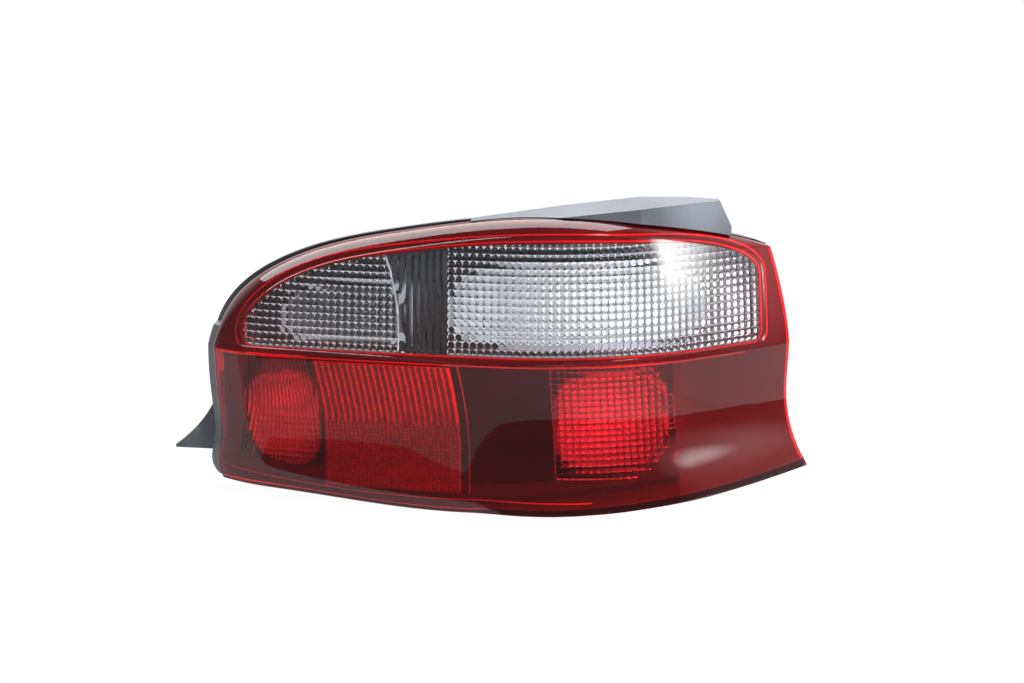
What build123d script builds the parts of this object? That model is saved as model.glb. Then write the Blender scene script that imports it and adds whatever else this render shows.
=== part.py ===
"""Rear lamp cluster for the left corner of a car: two-colour lens, housing, reflectors and bulb carrier.

Millimetres. +X runs inboard, +Y into the car, +Z up. The origin lies midway between the two fixing
studs, on the face of the body gasket, so the lens looks towards -Y.
"""
import os
from math import cos, pi, radians, sin

from build123d import *

# Lens: crease to mounting plane, wall, and the plan as tangent arcs (from angle, to angle, radius)
LENS_DEPTH = 118.0
LENS_WALL = 2.6
TOP_ROLL_R = 7.0
PLAN_ARCS = ((-62.0, -19.0, 90.0), (-19.0, -12.0, 1200.0), (-12.0, 36.0, 140.0), (36.0, 44.0, 900.0))
# Stations along the plan, as turn angles, where the front skin is held
PLAN_STATIONS = (-62, -48, -34, -22, -17, -13.2, -8, 0, 8, 16, 26, 36, 39, 41.5, 44)
LOWER_LEVELS = (-100.0, -86.0, -70.0, -46.0, -22.0, 0.0)
UPPER_LEVELS = (0.0, 46.0, 92.0)

# Upright section of the skin: lean above the crease, undercut and flare below it
UPPER_LEAN = 0.26
UPPER_BOW = 0.0012
CALM_LEAN = 0.10
CALM_BOW = 0.00095
FLARE_LEAN = 0.13
FLARE_BOW = 0.000068
FLARE_KNEE = 70.0
FLARE_END_SLOPE = 0.87
FLARE_FROM_X = -50.0
FLARE_RUN = 90.0

# Lens outline seen from the front (x, z), corner to corner
TOP_EDGE = ((-203.4, 0), (-190.3, 30), (-151.3, 56.7), (-88.3, 73),
            (0, 82), (60, 76.4), (114, 65.6), (138.2, 57.8))
INBOARD_EDGE = ((138.2, 57.8), (145.4, 29.2), (149.2, 0), (148.4, -26.7), (151.4, -53.3), (160.2, -74))
LOWER_EDGE = ((160.2, -74), (95, -78.9), (26, -82.6), (-40, -88.6), (-149, -83.4), (-199, -80.5))
OUTBOARD_EDGE = ((-199, -80.5), (-202.3, -74), (-200.2, -57), (-201.2, -36), (-203.4, 0))

# An edge moved inwards drops the points nearer to its ends than this many times the move
CORNER_ROOM = 2.0

# Clear window in the upper half of the lens
WINDOW_TOP = ((-183.5, 11), (-175, 28.5), (-146.5, 47.5), (-88, 61.2), (-11, 68.2), (57, 66.8), (116, 56.4))
WINDOW_SIDE_X = 128.8
WINDOW_SILL_Z = 4.6
WINDOW_CORNER_R = 5.0
WINDOW_SHOULDER_Z = 44.0
WINDOW_LAP = 3.0
WINDOW_LAP_WALL = 1.8
WINDOW_JOINT = 0.08

# Joint between lens skirt and housing: set-back behind the crease line at two heights, seal, rim
JOINT_LOW_Z = -88.0
JOINT_LOW_BACK = 14.0
JOINT_HIGH_Z = 82.0
JOINT_HIGH_BACK = 42.0
LENS_SEAL = 2.0
LENS_SEAL_WIDTH = 5.5
RIM_WALL = 3.0
RIM_SIDE_CLEAR = 0.35
FLANGE_BACK = 5.0
FLANGE_OUTBOARD = 5.0
FLANGE_TOP = 1.0
FLANGE_END_Z = 12.0
FLANGE_CUT = 600.0
RIM_LAP = 0.5
RIM_TUCK = 1.0

# Housing tub, rear wall, collar and gasket
TUB_WALL = 2.4
TUB_FRONT_INSET = 7.0
TUB_REAR_INSET = 16.0
TUB_FRONT_Y = -160.0
REAR_FACE_Y = -8.0
REAR_WALL = 2.5
COLLAR_FLANGE = 9.0
COLLAR_FLANGE_WALL = 2.5
GASKET = 4.0

# Lamp chambers: bulb places (x, z) and reflector mouths (outboard, inboard, low, high)
INDICATOR_AT = (-100.0, 22.0)
REVERSE_AT = (16.0, 28.0)
STOP_AT = (36.0, -32.0)
TAIL_AT = (-158.0, -34.0)
INDICATOR_MOUTH = (-172.0, -84.0, 6.0, 42.5)
REVERSE_MOUTH = (-62.0, 112.0, 8.0, 58.0)
STOP_MOUTH = (0.0, 72.0, -66.0, -4.0)
TAIL_MOUTH = (-185.5, -134.0, -71.0, -8.0)
REFLECTOR_WALL = 1.8
REFLECTOR_LENS_GAP = 8.0
REFLECTOR_FRONT_Y = -150.0
HUB_R = 14.5
HUB_RIM = 1.0
HUB_HEIGHT = 8.0

# Bulbs: cap, seat flange, and glass sizes for the large and the small bulb
CAP_R = 7.5
CAP_LENGTH = 15.2
CAP_FLANGE_R = 9.0
CAP_FLANGE = 1.2
CAP_FIT = 0.25
CONTACT_R = 2.5
GLASS_NECK_R = 6.5
LARGE_GLASS_R = 12.5
LARGE_GLASS_LENGTH = 33.0
SMALL_GLASS_R = 8.5
SMALL_GLASS_LENGTH = 22.0

# Bulb carrier, its seal, its holders and the contact tracks on its back
CARRIER_OUTLINE = ((-177, -58), (60, -58), (60, 54), (-108, 44), (-177, -2))
CARRIER_CORNER_R = 10.0
CARRIER_PLATE = 2.8
CARRIER_SEAL = 2.0
HOLDER_R = 11.5
HOLDER_HOLE_CLEAR = 1.5
TRACK_WIDTH = 4.0
TRACK = 0.8
TRACK_CLEAR = 0.3
SHELL_OFFSET = 6.5
EARTH_RISE_X = -118.0
EARTH_JOG_X = -60.0
EARTH_DROP_X = 50.0
TAIL_LANE_Z = -50.0
INDICATOR_LANE_Z = 14.0
REVERSE_LANE_Z = 4.0
STOP_LANE_Z = -46.0

# Harness connector moulded on the carrier
PIN_PITCH = 7.0
PIN_COUNT = 5
PIN_LENGTH = 11.0
CONNECTOR_AT = (-50.0, -20.0)
CONNECTOR_HEIGHT = 9.0
CONNECTOR_WALL = 2.0
CONNECTOR_DEPTH = 22.0
CONNECTOR_END_ROOM = 3.0

# Fixing studs and their bosses
STUD_SPACING = 156.0
STUD_R = 3.0
STUD_OUT = 24.0
STUD_FLANGE_R = 6.0
STUD_FLANGE = 2.5
STUD_ROOT = 9.0
STUD_ROOT_R = 3.6
STUD_FIT = 0.1
BOSS_R = 8.0
BOSS_CLEAR = 1.5
BOSS_FLOOR = 3.0
BOSS_TOP_Y = -6.0

# Reflex insert behind the lower lens: slanted outline and wall
REFLEX_OUTLINE = ((-140, -3), (-58, -3), (-52, -40), (-51, -79), (-132.5, -78), (-133.5, -45))
REFLEX_WALL = 3.0

# Locating tongue at the outboard end and shoulder wedge above the inboard half
TONGUE_OUTLINE = ((-230, -63), (-222, -56.5), (-213, -47), (-206, -36))
TONGUE_ROOT_X = -190.0
TONGUE_FOOT_Z = -66.5
TONGUE_Y = -43.0
TONGUE_WALL = 3.0
# Wedge sections: x, front y, back y, foot z, ridge z, crest z
WEDGE_SECTIONS = (
    (-46.0, -80.0, -71.0, 71.0, 79.0, 81.0),
    (10.0, -84.0, -66.0, 74.0, 82.6, 88.2),
    (54.0, -75.0, -54.0, 69.0, 86.2, 91.8),
    (85.0, -57.0, -43.0, 64.0, 88.0, 90.6),
    (104.0, -44.0, -37.0, 60.0, 88.4, 88.8),
    (112.0, -38.0, -32.0, 58.0, 72.0, 73.0),
)
WEDGE_HEEL = 4.0
WEDGE_HEEL_DROP = 6.0

# Space behind and beyond everything, used to trim
FAR_BACK_Y = 90.0
FAR_FRONT_Y = -170.0
FAR_LOW_Z = -105.0
FAR_HIGH_Z = 100.0
TINY = 0.02


def smooth_step(value):
    """Ease from 0 to 1."""
    value = min(1.0, max(0.0, value))
    return value * value * (3.0 - 2.0 * value)


def plan_point(turn):
    """Point of the crease line in plan where its tangent has turned by an angle."""
    x = y = 0.0
    low, high = min(0.0, turn), max(0.0, turn)
    for start, end, radius in PLAN_ARCS:
        first, last = radians(max(low, start)), radians(min(high, end))
        if last > first:
            x += radius * (sin(last) - sin(first))
            y += radius * (cos(first) - cos(last))
    sign = 1.0 if turn >= 0 else -1.0
    return sign * x, sign * y - LENS_DEPTH


def skin_stand(x, z):
    """How far the lens skin stands out of the crease line at a height."""
    if z >= 0:
        return -UPPER_LEAN * z - UPPER_BOW * z * z
    drop = -z
    calm = -CALM_LEAN * drop + CALM_BOW * drop**2
    knee = min(drop, FLARE_KNEE)
    flare = -FLARE_LEAN * knee + FLARE_BOW * knee**3 + FLARE_END_SLOPE * (drop - knee)
    share = smooth_step((x - FLARE_FROM_X) / FLARE_RUN)
    return (1.0 - share) * calm + share * flare


def closed_plan(front, z):
    """Close a front line into a level face that reaches far behind the lamp."""
    right, left = front[-1] @ 1, front[0] @ 0
    right_back = Vector(right.X, FAR_BACK_Y, z)
    left_back = Vector(left.X, FAR_BACK_Y, z)
    sides = [Line(right, right_back), Line(right_back, left_back), Line(left_back, left)]
    return Face(Wire(list(front) + sides))


def skin_section(z, inset):
    """Level section of everything behind the lens skin."""
    points = []
    for turn in PLAN_STATIONS:
        x, y = plan_point(turn)
        stand = skin_stand(x, z) - inset
        points.append((x + stand * sin(radians(turn)), y - stand * cos(radians(turn)), z))
    return closed_plan([Spline(*points)], z)


def behind_skin(inset):
    """Everything behind the lens skin moved inwards."""
    lower = loft([skin_section(z, inset) for z in LOWER_LEVELS])
    upper = loft([skin_section(z, inset) for z in UPPER_LEVELS])
    return lower + upper


def arc_section(z, inset, back=0.0):
    """Level section of everything behind the crease line, as arcs moved inwards or straight back."""
    edges = []
    for start, end, radius in PLAN_ARCS:
        points = []
        for turn in (start, (start + end) / 2, end):
            x, y = plan_point(turn)
            points.append((x - inset * sin(radians(turn)), y + back + inset * cos(radians(turn)), z))
        edges.append(ThreePointArc(*points))
    return closed_plan(edges, z)


def joint_back(z):
    """Set-back of the lens and housing joint behind the crease line."""
    share = (z - JOINT_LOW_Z) / (JOINT_HIGH_Z - JOINT_LOW_Z)
    return JOINT_LOW_BACK + share * (JOINT_HIGH_BACK - JOINT_LOW_BACK)


def behind_joint(inset):
    """Everything behind the leaning joint between lens and housing."""
    levels = (FAR_LOW_Z, FAR_HIGH_Z)
    return loft([arc_section(z, 0.0, joint_back(z) + inset) for z in levels], ruled=True)


def behind_front(inset):
    """Everything behind a plain ruled front that keeps inside the lens skin."""
    top = UPPER_LEVELS[-1]
    lower = loft([arc_section(z, inset) for z in (FAR_LOW_Z, 0.0)], ruled=True)
    upper = loft([arc_section(z, inset - skin_stand(0.0, z)) for z in (0.0, top)], ruled=True)
    return lower + upper


def edge_normals(points):
    """Outward directions along one edge of the lens outline."""
    normals = []
    for index in range(len(points)):
        before = points[max(index - 1, 0)]
        after = points[min(index + 1, len(points) - 1)]
        run = Vector(after[0] - before[0], after[1] - before[1])
        normals.append(Vector(-run.Y, run.X).normalized())
    return normals


def grown_edge(points, normals, corners, grow, outboard, top):
    """Move an edge outwards, with more at the outboard and top sides."""
    moved = []
    first, last = Vector(points[0]), Vector(points[-1])
    for index, (point, normal) in enumerate(zip(points, normals)):
        spare = min((Vector(point) - first).length, (Vector(point) - last).length)
        if 0.0 < spare < -CORNER_ROOM * grow:
            continue
        corner = corners.get(index, normal)
        pair = Vector(normal.X + corner.X, normal.Y + corner.Y)
        mitre = pair * (1.0 / (1.0 + normal.dot(corner)))
        shift = mitre * grow
        moved.append((point[0] + shift.X - outboard * max(0.0, -mitre.X),
                      point[1] + shift.Y + top * max(0.0, mitre.Y)))
    return moved


def outline(grow=0.0, outboard=0.0, top=0.0):
    """Lens outline as a face in x and z, grown or shrunk."""
    loops = (TOP_EDGE, INBOARD_EDGE, LOWER_EDGE, OUTBOARD_EDGE)
    normals = [edge_normals(points) for points in loops]
    edges = []
    for index, points in enumerate(loops):
        corners = {0: normals[index - 1][-1], len(points) - 1: normals[(index + 1) % 4][0]}
        edges.append(Spline(*grown_edge(points, normals[index], corners, grow, outboard, top)))
    return Face(Wire(edges))


def upright(face, y_front, y_back):
    """Solid of a front-view face between two depths."""
    place = Plane(origin=(0, y_back, 0), x_dir=(1, 0, 0), z_dir=(0, -1, 0))
    return extrude(place * face, amount=y_back - y_front, dir=(0, -1, 0))


def through(face):
    """Solid of a front-view face through the whole lamp."""
    return upright(face, FAR_FRONT_Y, FAR_BACK_Y)


def ring(outer, inner, y_front, y_back):
    """Flat ring between two front-view outlines."""
    return upright(outer, y_front, y_back) - upright(inner, y_front - 1, y_back + 1)


def bar(centre, radius, y_front, y_back):
    """Round bar along the depth at a front-view place."""
    place = Location((centre[0], y_back, centre[1]), (90, 0, 0))
    return place * Cylinder(radius, y_back - y_front, align=(Align.CENTER, Align.CENTER, Align.MIN))


def window(grow=0.0):
    """Outline of the clear window."""
    side = WINDOW_SIDE_X + grow
    sill = WINDOW_SILL_Z - grow
    normals = edge_normals(WINDOW_TOP)
    crown = grown_edge(WINDOW_TOP, normals, {}, grow, 0.0, 0.0)
    corner = WINDOW_CORNER_R + grow
    shoulder = (side, WINDOW_SHOULDER_Z)
    low_side = (side, sill + corner)
    low_sill = (side - corner, sill)
    tail = (crown[0][0] + corner, sill)
    edges = [
        Spline(*crown),
        Spline(crown[-1], shoulder, tangents=((1.0, -0.3), (0.0, -1.0))),
        Line(shoulder, low_side),
        Spline(low_side, low_sill, tangents=((0.0, -1.0), (-1.0, 0.0))),
        Line(low_sill, tail),
        Spline(tail, crown[0], tangents=((-1.0, 0.0), (0.1, 1.0))),
    ]
    return Face(Wire(edges))


def slanted(points):
    """Front-view face with straight sides."""
    return Face(Wire(Polyline(*points, close=True).edges()))


def rounded(points, corner):
    """Front-view face with straight sides and round corners."""
    return fillet(slanted(points).vertices(), corner)


def bulb_places():
    """Names, places and glass sizes of the four bulbs."""
    large = (LARGE_GLASS_R, LARGE_GLASS_LENGTH)
    small = (SMALL_GLASS_R, SMALL_GLASS_LENGTH)
    return (("indicator", INDICATOR_AT, large), ("reverse", REVERSE_AT, large),
            ("stop", STOP_AT, large), ("tail", TAIL_AT, small))


def stud_place(side):
    """Front-view place of a fixing stud."""
    return (side * STUD_SPACING / 2, 0.0)


# Depths that follow from the driving sizes
WALL_FRONT_Y = REAR_FACE_Y - REAR_WALL
CARRIER_FRONT_Y = REAR_FACE_Y + CARRIER_SEAL
CARRIER_BACK_Y = CARRIER_FRONT_Y + CARRIER_PLATE
HOLDER_FRONT_Y = CARRIER_BACK_Y - CAP_LENGTH - TRACK
GLASS_BASE_Y = HOLDER_FRONT_Y - CAP_FLANGE
HOLE_R = HOLDER_R + HOLDER_HOLE_CLEAR

SKIN = behind_skin(0.0)
INNER_SKIN = behind_skin(LENS_WALL)
JOINT = behind_joint(0.0)
SEATED = behind_joint(LENS_SEAL)
OPTICS_FRONT = behind_front(REFLECTOR_LENS_GAP)
OUTLINE = outline()


def make_lens():
    """Lens shell with its skirt, before the window is parted from it."""
    body = SKIN & through(OUTLINE)
    hollow = INNER_SKIN & through(outline(-LENS_WALL))
    body = fillet(top_edge(body), TOP_ROLL_R)
    hollow = fillet(top_edge(hollow), TOP_ROLL_R - LENS_WALL)
    return body - JOINT - hollow


def top_edge(body):
    """Upper edge between the skin and the top side of a body."""
    ahead = [edge for edge in body.edges() if edge.center().Y < 0]
    return max(ahead, key=lambda edge: edge.center().Z)


def make_red_lens(shell):
    """Red moulding around the window."""
    return shell - through(window(WINDOW_JOINT))


def make_clear_lens(shell):
    """Smoked clear pane with a lap behind the red moulding."""
    pane = shell & through(window())
    lap = INNER_SKIN & through(window(WINDOW_LAP)) & through(outline(-TOP_ROLL_R))
    lap = lap - behind_skin(LENS_WALL + WINDOW_LAP_WALL) - through(window(-WINDOW_LAP))
    return pane + lap


def make_reflex():
    """Reflex insert that lies on the inside of the lower lens."""
    back = behind_skin(LENS_WALL + REFLEX_WALL)
    return (INNER_SKIN & through(slanted(REFLEX_OUTLINE))) - back


def make_lens_seal():
    """Sealing ring between lens skirt and housing rim."""
    band = through(outline(-RIM_SIDE_CLEAR)) - through(outline(-LENS_SEAL_WIDTH))
    return (band & JOINT) - SEATED


def make_tub(inset):
    """Drafted tub body, from far in front to the rear wall."""
    front = outline(-TUB_FRONT_INSET - inset)
    rear = outline(-TUB_REAR_INSET - inset)
    back_y = REAR_FACE_Y - (REAR_WALL if inset else 0.0)
    faces = []
    for face, y in ((front, TUB_FRONT_Y), (rear, back_y)):
        faces.append(Plane(origin=(0, y, 0), x_dir=(1, 0, 0), z_dir=(0, -1, 0)) * face)
    return loft(faces, ruled=True)


def make_wedge():
    """Shoulder wedge that rises behind the top edge."""
    faces = []
    for x, front, back, foot, ridge, crest in WEDGE_SECTIONS:
        heel = (back + WEDGE_HEEL, foot - WEDGE_HEEL_DROP)
        corners = ((front, foot), (front, ridge), (back, crest), heel)
        faces.append(Face(Wire(Polyline(*[(x, y, z) for y, z in corners], close=True).edges())))
    return loft(faces, ruled=True)


def make_tongue():
    """Locating tongue: a hollow-edged fin on a flat foot."""
    tip, *edge = TONGUE_OUTLINE
    foot_tip = (tip[0], TONGUE_FOOT_Z + 2.0)
    root_low = (TONGUE_ROOT_X, TONGUE_FOOT_Z)
    root_high = (TONGUE_ROOT_X, edge[-1][1])
    sides = [Spline(tip, *edge), Line(edge[-1], root_high), Line(root_high, root_low),
             Line(root_low, foot_tip), Line(foot_tip, tip)]
    return upright(Face(Wire(sides)), TONGUE_Y, TONGUE_Y + TONGUE_WALL)


def make_housing():
    """Moulded housing: rim, tub, rear wall, collar, bosses, wedge and tongue."""
    band = through(outline(-RIM_TUCK, FLANGE_OUTBOARD + RIM_TUCK, FLANGE_TOP + RIM_TUCK))
    under = (Align.CENTER, Align.CENTER, Align.MAX)
    low = Location((0, 0, FLANGE_END_Z)) * Box(FLANGE_CUT, FLANGE_CUT, FLANGE_CUT, align=under)
    flange = band & behind_front(FLANGE_BACK) & low
    rim = (band & behind_joint(-RIM_LAP)) + flange - behind_joint(LENS_SEAL + RIM_WALL)
    collar_inset = TUB_REAR_INSET + TUB_WALL
    collar = upright(outline(-TUB_REAR_INSET), REAR_FACE_Y - TINY, -GASKET)
    lip = upright(outline(COLLAR_FLANGE - collar_inset), -GASKET - COLLAR_FLANGE_WALL, -GASKET)
    rear = (make_tub(0.0) + collar + lip) & SEATED
    body = rim + rear + make_wedge() + make_tongue()
    envelope = through(outline(RIM_SIDE_CLEAR)) - SEATED
    body = body - envelope - make_tub(TUB_WALL)
    body = body - upright(outline(-collar_inset), REAR_FACE_Y, 1.0)
    for side in (-1, 1):
        body = body + bar(stud_place(side), BOSS_R, BOSS_TOP_Y - STUD_ROOT - BOSS_FLOOR, BOSS_TOP_Y)
    for side in (-1, 1):
        body = body - bar(stud_place(side), STUD_ROOT_R + STUD_FIT, BOSS_TOP_Y - STUD_ROOT, 1.0)
    for _, place, _ in bulb_places():
        body = body - bar(place, HOLE_R, WALL_FRONT_Y - 1, REAR_FACE_Y + 1)
    return body


def make_gasket():
    """Foam gasket on the collar lip, ending on the mounting plane."""
    collar_inset = TUB_REAR_INSET + TUB_WALL
    return ring(outline(COLLAR_FLANGE - collar_inset), outline(-collar_inset), -GASKET, 0.0)


def mouth_ring(place, mouth, share, square, inset, y):
    """Rounded section of a reflector bowl, part of the way from hub to mouth."""
    points = []
    count = 16
    for index in range(count):
        angle = 2 * pi * index / count
        across = abs(cos(angle)) ** (2.0 / square) * (1 if cos(angle) >= 0 else -1)
        along = abs(sin(angle)) ** (2.0 / square) * (1 if sin(angle) >= 0 else -1)
        reach_x = mouth[1] - place[0] if across >= 0 else place[0] - mouth[0]
        reach_z = mouth[3] - place[1] if along >= 0 else place[1] - mouth[2]
        size_x = HUB_R + share * (reach_x - HUB_R) - inset
        size_z = HUB_R + share * (reach_z - HUB_R) - inset
        points.append((place[0] + across * size_x, y, place[1] + along * size_z))
    return Face(Wire(Spline(*points, periodic=True)))


def make_bowl(place, mouth, inset):
    """Solid bowl of a reflector from its hub to its mouth."""
    hub_y = WALL_FRONT_Y - HUB_HEIGHT
    steps = ((0.0, 0.0, 2.0), (0.12, 0.45, 2.4), (0.4, 0.85, 3.0), (1.0, 1.0, 3.6))
    faces = []
    for depth, share, square in steps:
        y = hub_y + depth * (REFLECTOR_FRONT_Y - hub_y)
        faces.append(mouth_ring(place, mouth, share, square, inset, y))
    return loft(faces)


def make_reflector(place, mouth):
    """Metallised bowl with a hub that stands on the rear wall."""
    front = WALL_FRONT_Y - HUB_HEIGHT
    hub = bar(place, HUB_R + HUB_RIM, front - HUB_RIM, WALL_FRONT_Y)
    bowl = make_bowl(place, mouth, 0.0) + hub - make_bowl(place, mouth, REFLECTOR_WALL)
    bowl = bowl - bar(place, HOLE_R, front - HUB_RIM, WALL_FRONT_Y + 1)
    return bowl & OPTICS_FRONT


def make_bulb_cap(place):
    """Bayonet cap with a seat flange and a tip contact."""
    body = bar(place, CAP_R, HOLDER_FRONT_Y, CARRIER_BACK_Y - TRACK)
    flange = bar(place, CAP_FLANGE_R, GLASS_BASE_Y, HOLDER_FRONT_Y)
    tip = bar(place, CONTACT_R, CARRIER_BACK_Y - TRACK - TINY, CARRIER_BACK_Y)
    return body + flange + tip


def make_bulb_glass(place, radius, length):
    """Blown bulb: neck, swell and round end."""
    neck = length * 0.18
    swell = length - radius
    half = [
        Line((0, 0), (GLASS_NECK_R, 0)),
        Line((GLASS_NECK_R, 0), (GLASS_NECK_R, neck)),
        Spline((GLASS_NECK_R, neck), (radius, swell), tangents=((0.3, 1.0), (0.0, 1.0))),
        RadiusArc((radius, swell), (0, length), -radius),
        Line((0, length), (0, 0)),
    ]
    solid = revolve(Face(Wire(half)), Axis.Y)
    return Location((place[0], GLASS_BASE_Y, place[1]), (0, 0, 180)) * solid


def pin_x(index):
    """Place of a connector pin."""
    return CONNECTOR_AT[0] + (index - (PIN_COUNT - 1) / 2) * PIN_PITCH


def track_routes():
    """Contact tracks as front-view routes, each from its connector pin to its bulbs."""
    sill = CONNECTOR_AT[1]
    earth, tail, indicator, reverse, stop = [pin_x(index) for index in range(PIN_COUNT)]
    tail_shell = TAIL_AT[1] + SHELL_OFFSET
    indicator_shell = INDICATOR_AT[1] + SHELL_OFFSET
    reverse_shell = REVERSE_AT[1] + SHELL_OFFSET
    stop_shell = STOP_AT[1] + SHELL_OFFSET
    tail_end = (TAIL_AT[0] - SHELL_OFFSET, tail_shell)
    stop_end = (STOP_AT[0] - SHELL_OFFSET, stop_shell)
    rise, jog, drop = EARTH_RISE_X, EARTH_JOG_X, EARTH_DROP_X
    earth_low = ((earth, sill), (earth, tail_shell), tail_end)
    earth_rise = ((rise, tail_shell), (rise, indicator_shell), (jog, indicator_shell))
    earth_high = ((jog, indicator_shell), (jog, reverse_shell), (drop, reverse_shell))
    earth_drop = ((drop, reverse_shell), (drop, stop_shell), stop_end)
    return (
        ("earth_track", (earth_low, earth_rise, earth_high, earth_drop)),
        ("tail_track", (route_by(tail, sill, TAIL_LANE_Z, TAIL_AT),)),
        ("indicator_track", (route_by(indicator, sill, INDICATOR_LANE_Z, INDICATOR_AT),)),
        ("reverse_track", (route_by(reverse, sill, REVERSE_LANE_Z, REVERSE_AT),)),
        ("stop_track", (route_by(stop, sill, STOP_LANE_Z, STOP_AT),)),
    )


def route_by(x, z, lane, place):
    """Route from a pin by a level lane to a bulb."""
    return ((x, z), (x, lane), (place[0], lane), place)


def make_strip(route, width, y, thickness):
    """Flat strip along a route of level and upright runs."""
    strip = None
    for (x0, z0), (x1, z1) in zip(route, route[1:]):
        centre = Location(((x0 + x1) / 2, y, (z0 + z1) / 2))
        level = abs(x1 - x0) + width
        rise = abs(z1 - z0) + width
        run = centre * Box(level, thickness, rise, align=(Align.CENTER, Align.MIN, Align.CENTER))
        strip = run if strip is None else strip + run
    return strip


def make_carrier():
    """Bulb carrier: plate, four holders and the connector shell."""
    plate = upright(rounded(CARRIER_OUTLINE, CARRIER_CORNER_R), CARRIER_FRONT_Y, CARRIER_BACK_Y)
    for _, place, _ in bulb_places():
        plate = plate + bar(place, HOLDER_R, HOLDER_FRONT_Y, CARRIER_FRONT_Y + TINY)
    for _, place, _ in bulb_places():
        plate = plate - bar(place, CAP_R + CAP_FIT, HOLDER_FRONT_Y - 1, CARRIER_BACK_Y + 1)
    span = (PIN_COUNT - 1) * PIN_PITCH + TRACK_WIDTH + 2 * CONNECTOR_END_ROOM
    walls = 2 * CONNECTOR_WALL
    room = RectangleRounded(span, CONNECTOR_HEIGHT, CONNECTOR_WALL / 2)
    shell = RectangleRounded(span + walls, CONNECTOR_HEIGHT + walls, CONNECTOR_WALL)
    tube = Location((CONNECTOR_AT[0], CONNECTOR_AT[1], 0)) * (shell - room).face()
    plate = plate + upright(tube, CARRIER_BACK_Y - TINY, CARRIER_BACK_Y + CONNECTOR_DEPTH)
    slot_width = TRACK_WIDTH + 2 * TRACK_CLEAR
    for _, routes in track_routes():
        for route in routes:
            plate = plate - make_strip(route, slot_width, CARRIER_BACK_Y, TRACK + TRACK_CLEAR)
    return plate - bar(stud_place(-1), BOSS_R + BOSS_CLEAR, CARRIER_FRONT_Y - 1, CARRIER_BACK_Y + 1)


def make_carrier_seal():
    """Die-cut foam sheet between the carrier plate and the rear wall."""
    sheet = upright(rounded(CARRIER_OUTLINE, CARRIER_CORNER_R), REAR_FACE_Y, CARRIER_FRONT_Y)
    for _, place, _ in bulb_places():
        sheet = sheet - bar(place, HOLE_R, REAR_FACE_Y - 1, CARRIER_FRONT_Y + 1)
    return sheet - bar(stud_place(-1), BOSS_R + BOSS_CLEAR, REAR_FACE_Y - 1, CARRIER_FRONT_Y + 1)


def make_track(routes):
    """Pressed contact track with its blade in the connector."""
    track = None
    for route in routes:
        strip = make_strip(route, TRACK_WIDTH, CARRIER_BACK_Y, TRACK)
        track = strip if track is None else track + strip
    pin = Location((routes[0][0][0], CARRIER_BACK_Y, CONNECTOR_AT[1]))
    blade = Box(TRACK_WIDTH, PIN_LENGTH, TRACK, align=(Align.CENTER, Align.MIN, Align.CENTER))
    return track + pin * blade


def make_stud(side):
    """Fixing stud with its seat flange and the thicker root that is pressed into the boss."""
    place = stud_place(side)
    root = bar(place, STUD_ROOT_R, BOSS_TOP_Y - STUD_ROOT, BOSS_TOP_Y)
    flange = bar(place, STUD_FLANGE_R, BOSS_TOP_Y, BOSS_TOP_Y + STUD_FLANGE)
    return root + flange + bar(place, STUD_R, BOSS_TOP_Y + STUD_FLANGE, STUD_OUT)


os.makedirs("parts", exist_ok=True)
nodes = {}
lens_shell = make_lens()
nodes["red_lens"] = make_red_lens(lens_shell)
nodes["clear_lens"] = make_clear_lens(lens_shell)
nodes["reflex_reflector"] = make_reflex()
nodes["lens_seal"] = make_lens_seal()
nodes["housing"] = make_housing()
nodes["body_gasket"] = make_gasket()
nodes["indicator_reflector"] = make_reflector(INDICATOR_AT, INDICATOR_MOUTH)
nodes["reverse_reflector"] = make_reflector(REVERSE_AT, REVERSE_MOUTH)
nodes["stop_reflector"] = make_reflector(STOP_AT, STOP_MOUTH)
nodes["tail_reflector"] = make_reflector(TAIL_AT, TAIL_MOUTH)
nodes["bulb_carrier"] = make_carrier()
nodes["carrier_seal"] = make_carrier_seal()
for name, place, (radius, length) in bulb_places():
    nodes[name + "_bulb_glass"] = make_bulb_glass(place, radius, length)
    nodes[name + "_bulb_cap"] = make_bulb_cap(place)
for name, routes in track_routes():
    nodes[name] = make_track(routes)
nodes["outboard_stud"] = make_stud(-1)
nodes["inboard_stud"] = make_stud(1)
for name, solid in nodes.items():
    export_step(solid, os.path.join("parts", name + ".step"))
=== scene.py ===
"""Looks of the rear lamp cluster: the lens with its optics, a finish for every node, and a plain studio.

The sizes of the lamp are in millimetres, in the frame of the solids. Meshes and the studio are in metres.
"""
import logging
import math
from dataclasses import dataclass, field, replace
from enum import Enum, IntEnum
from typing import Iterable, Optional, Sequence

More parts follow.
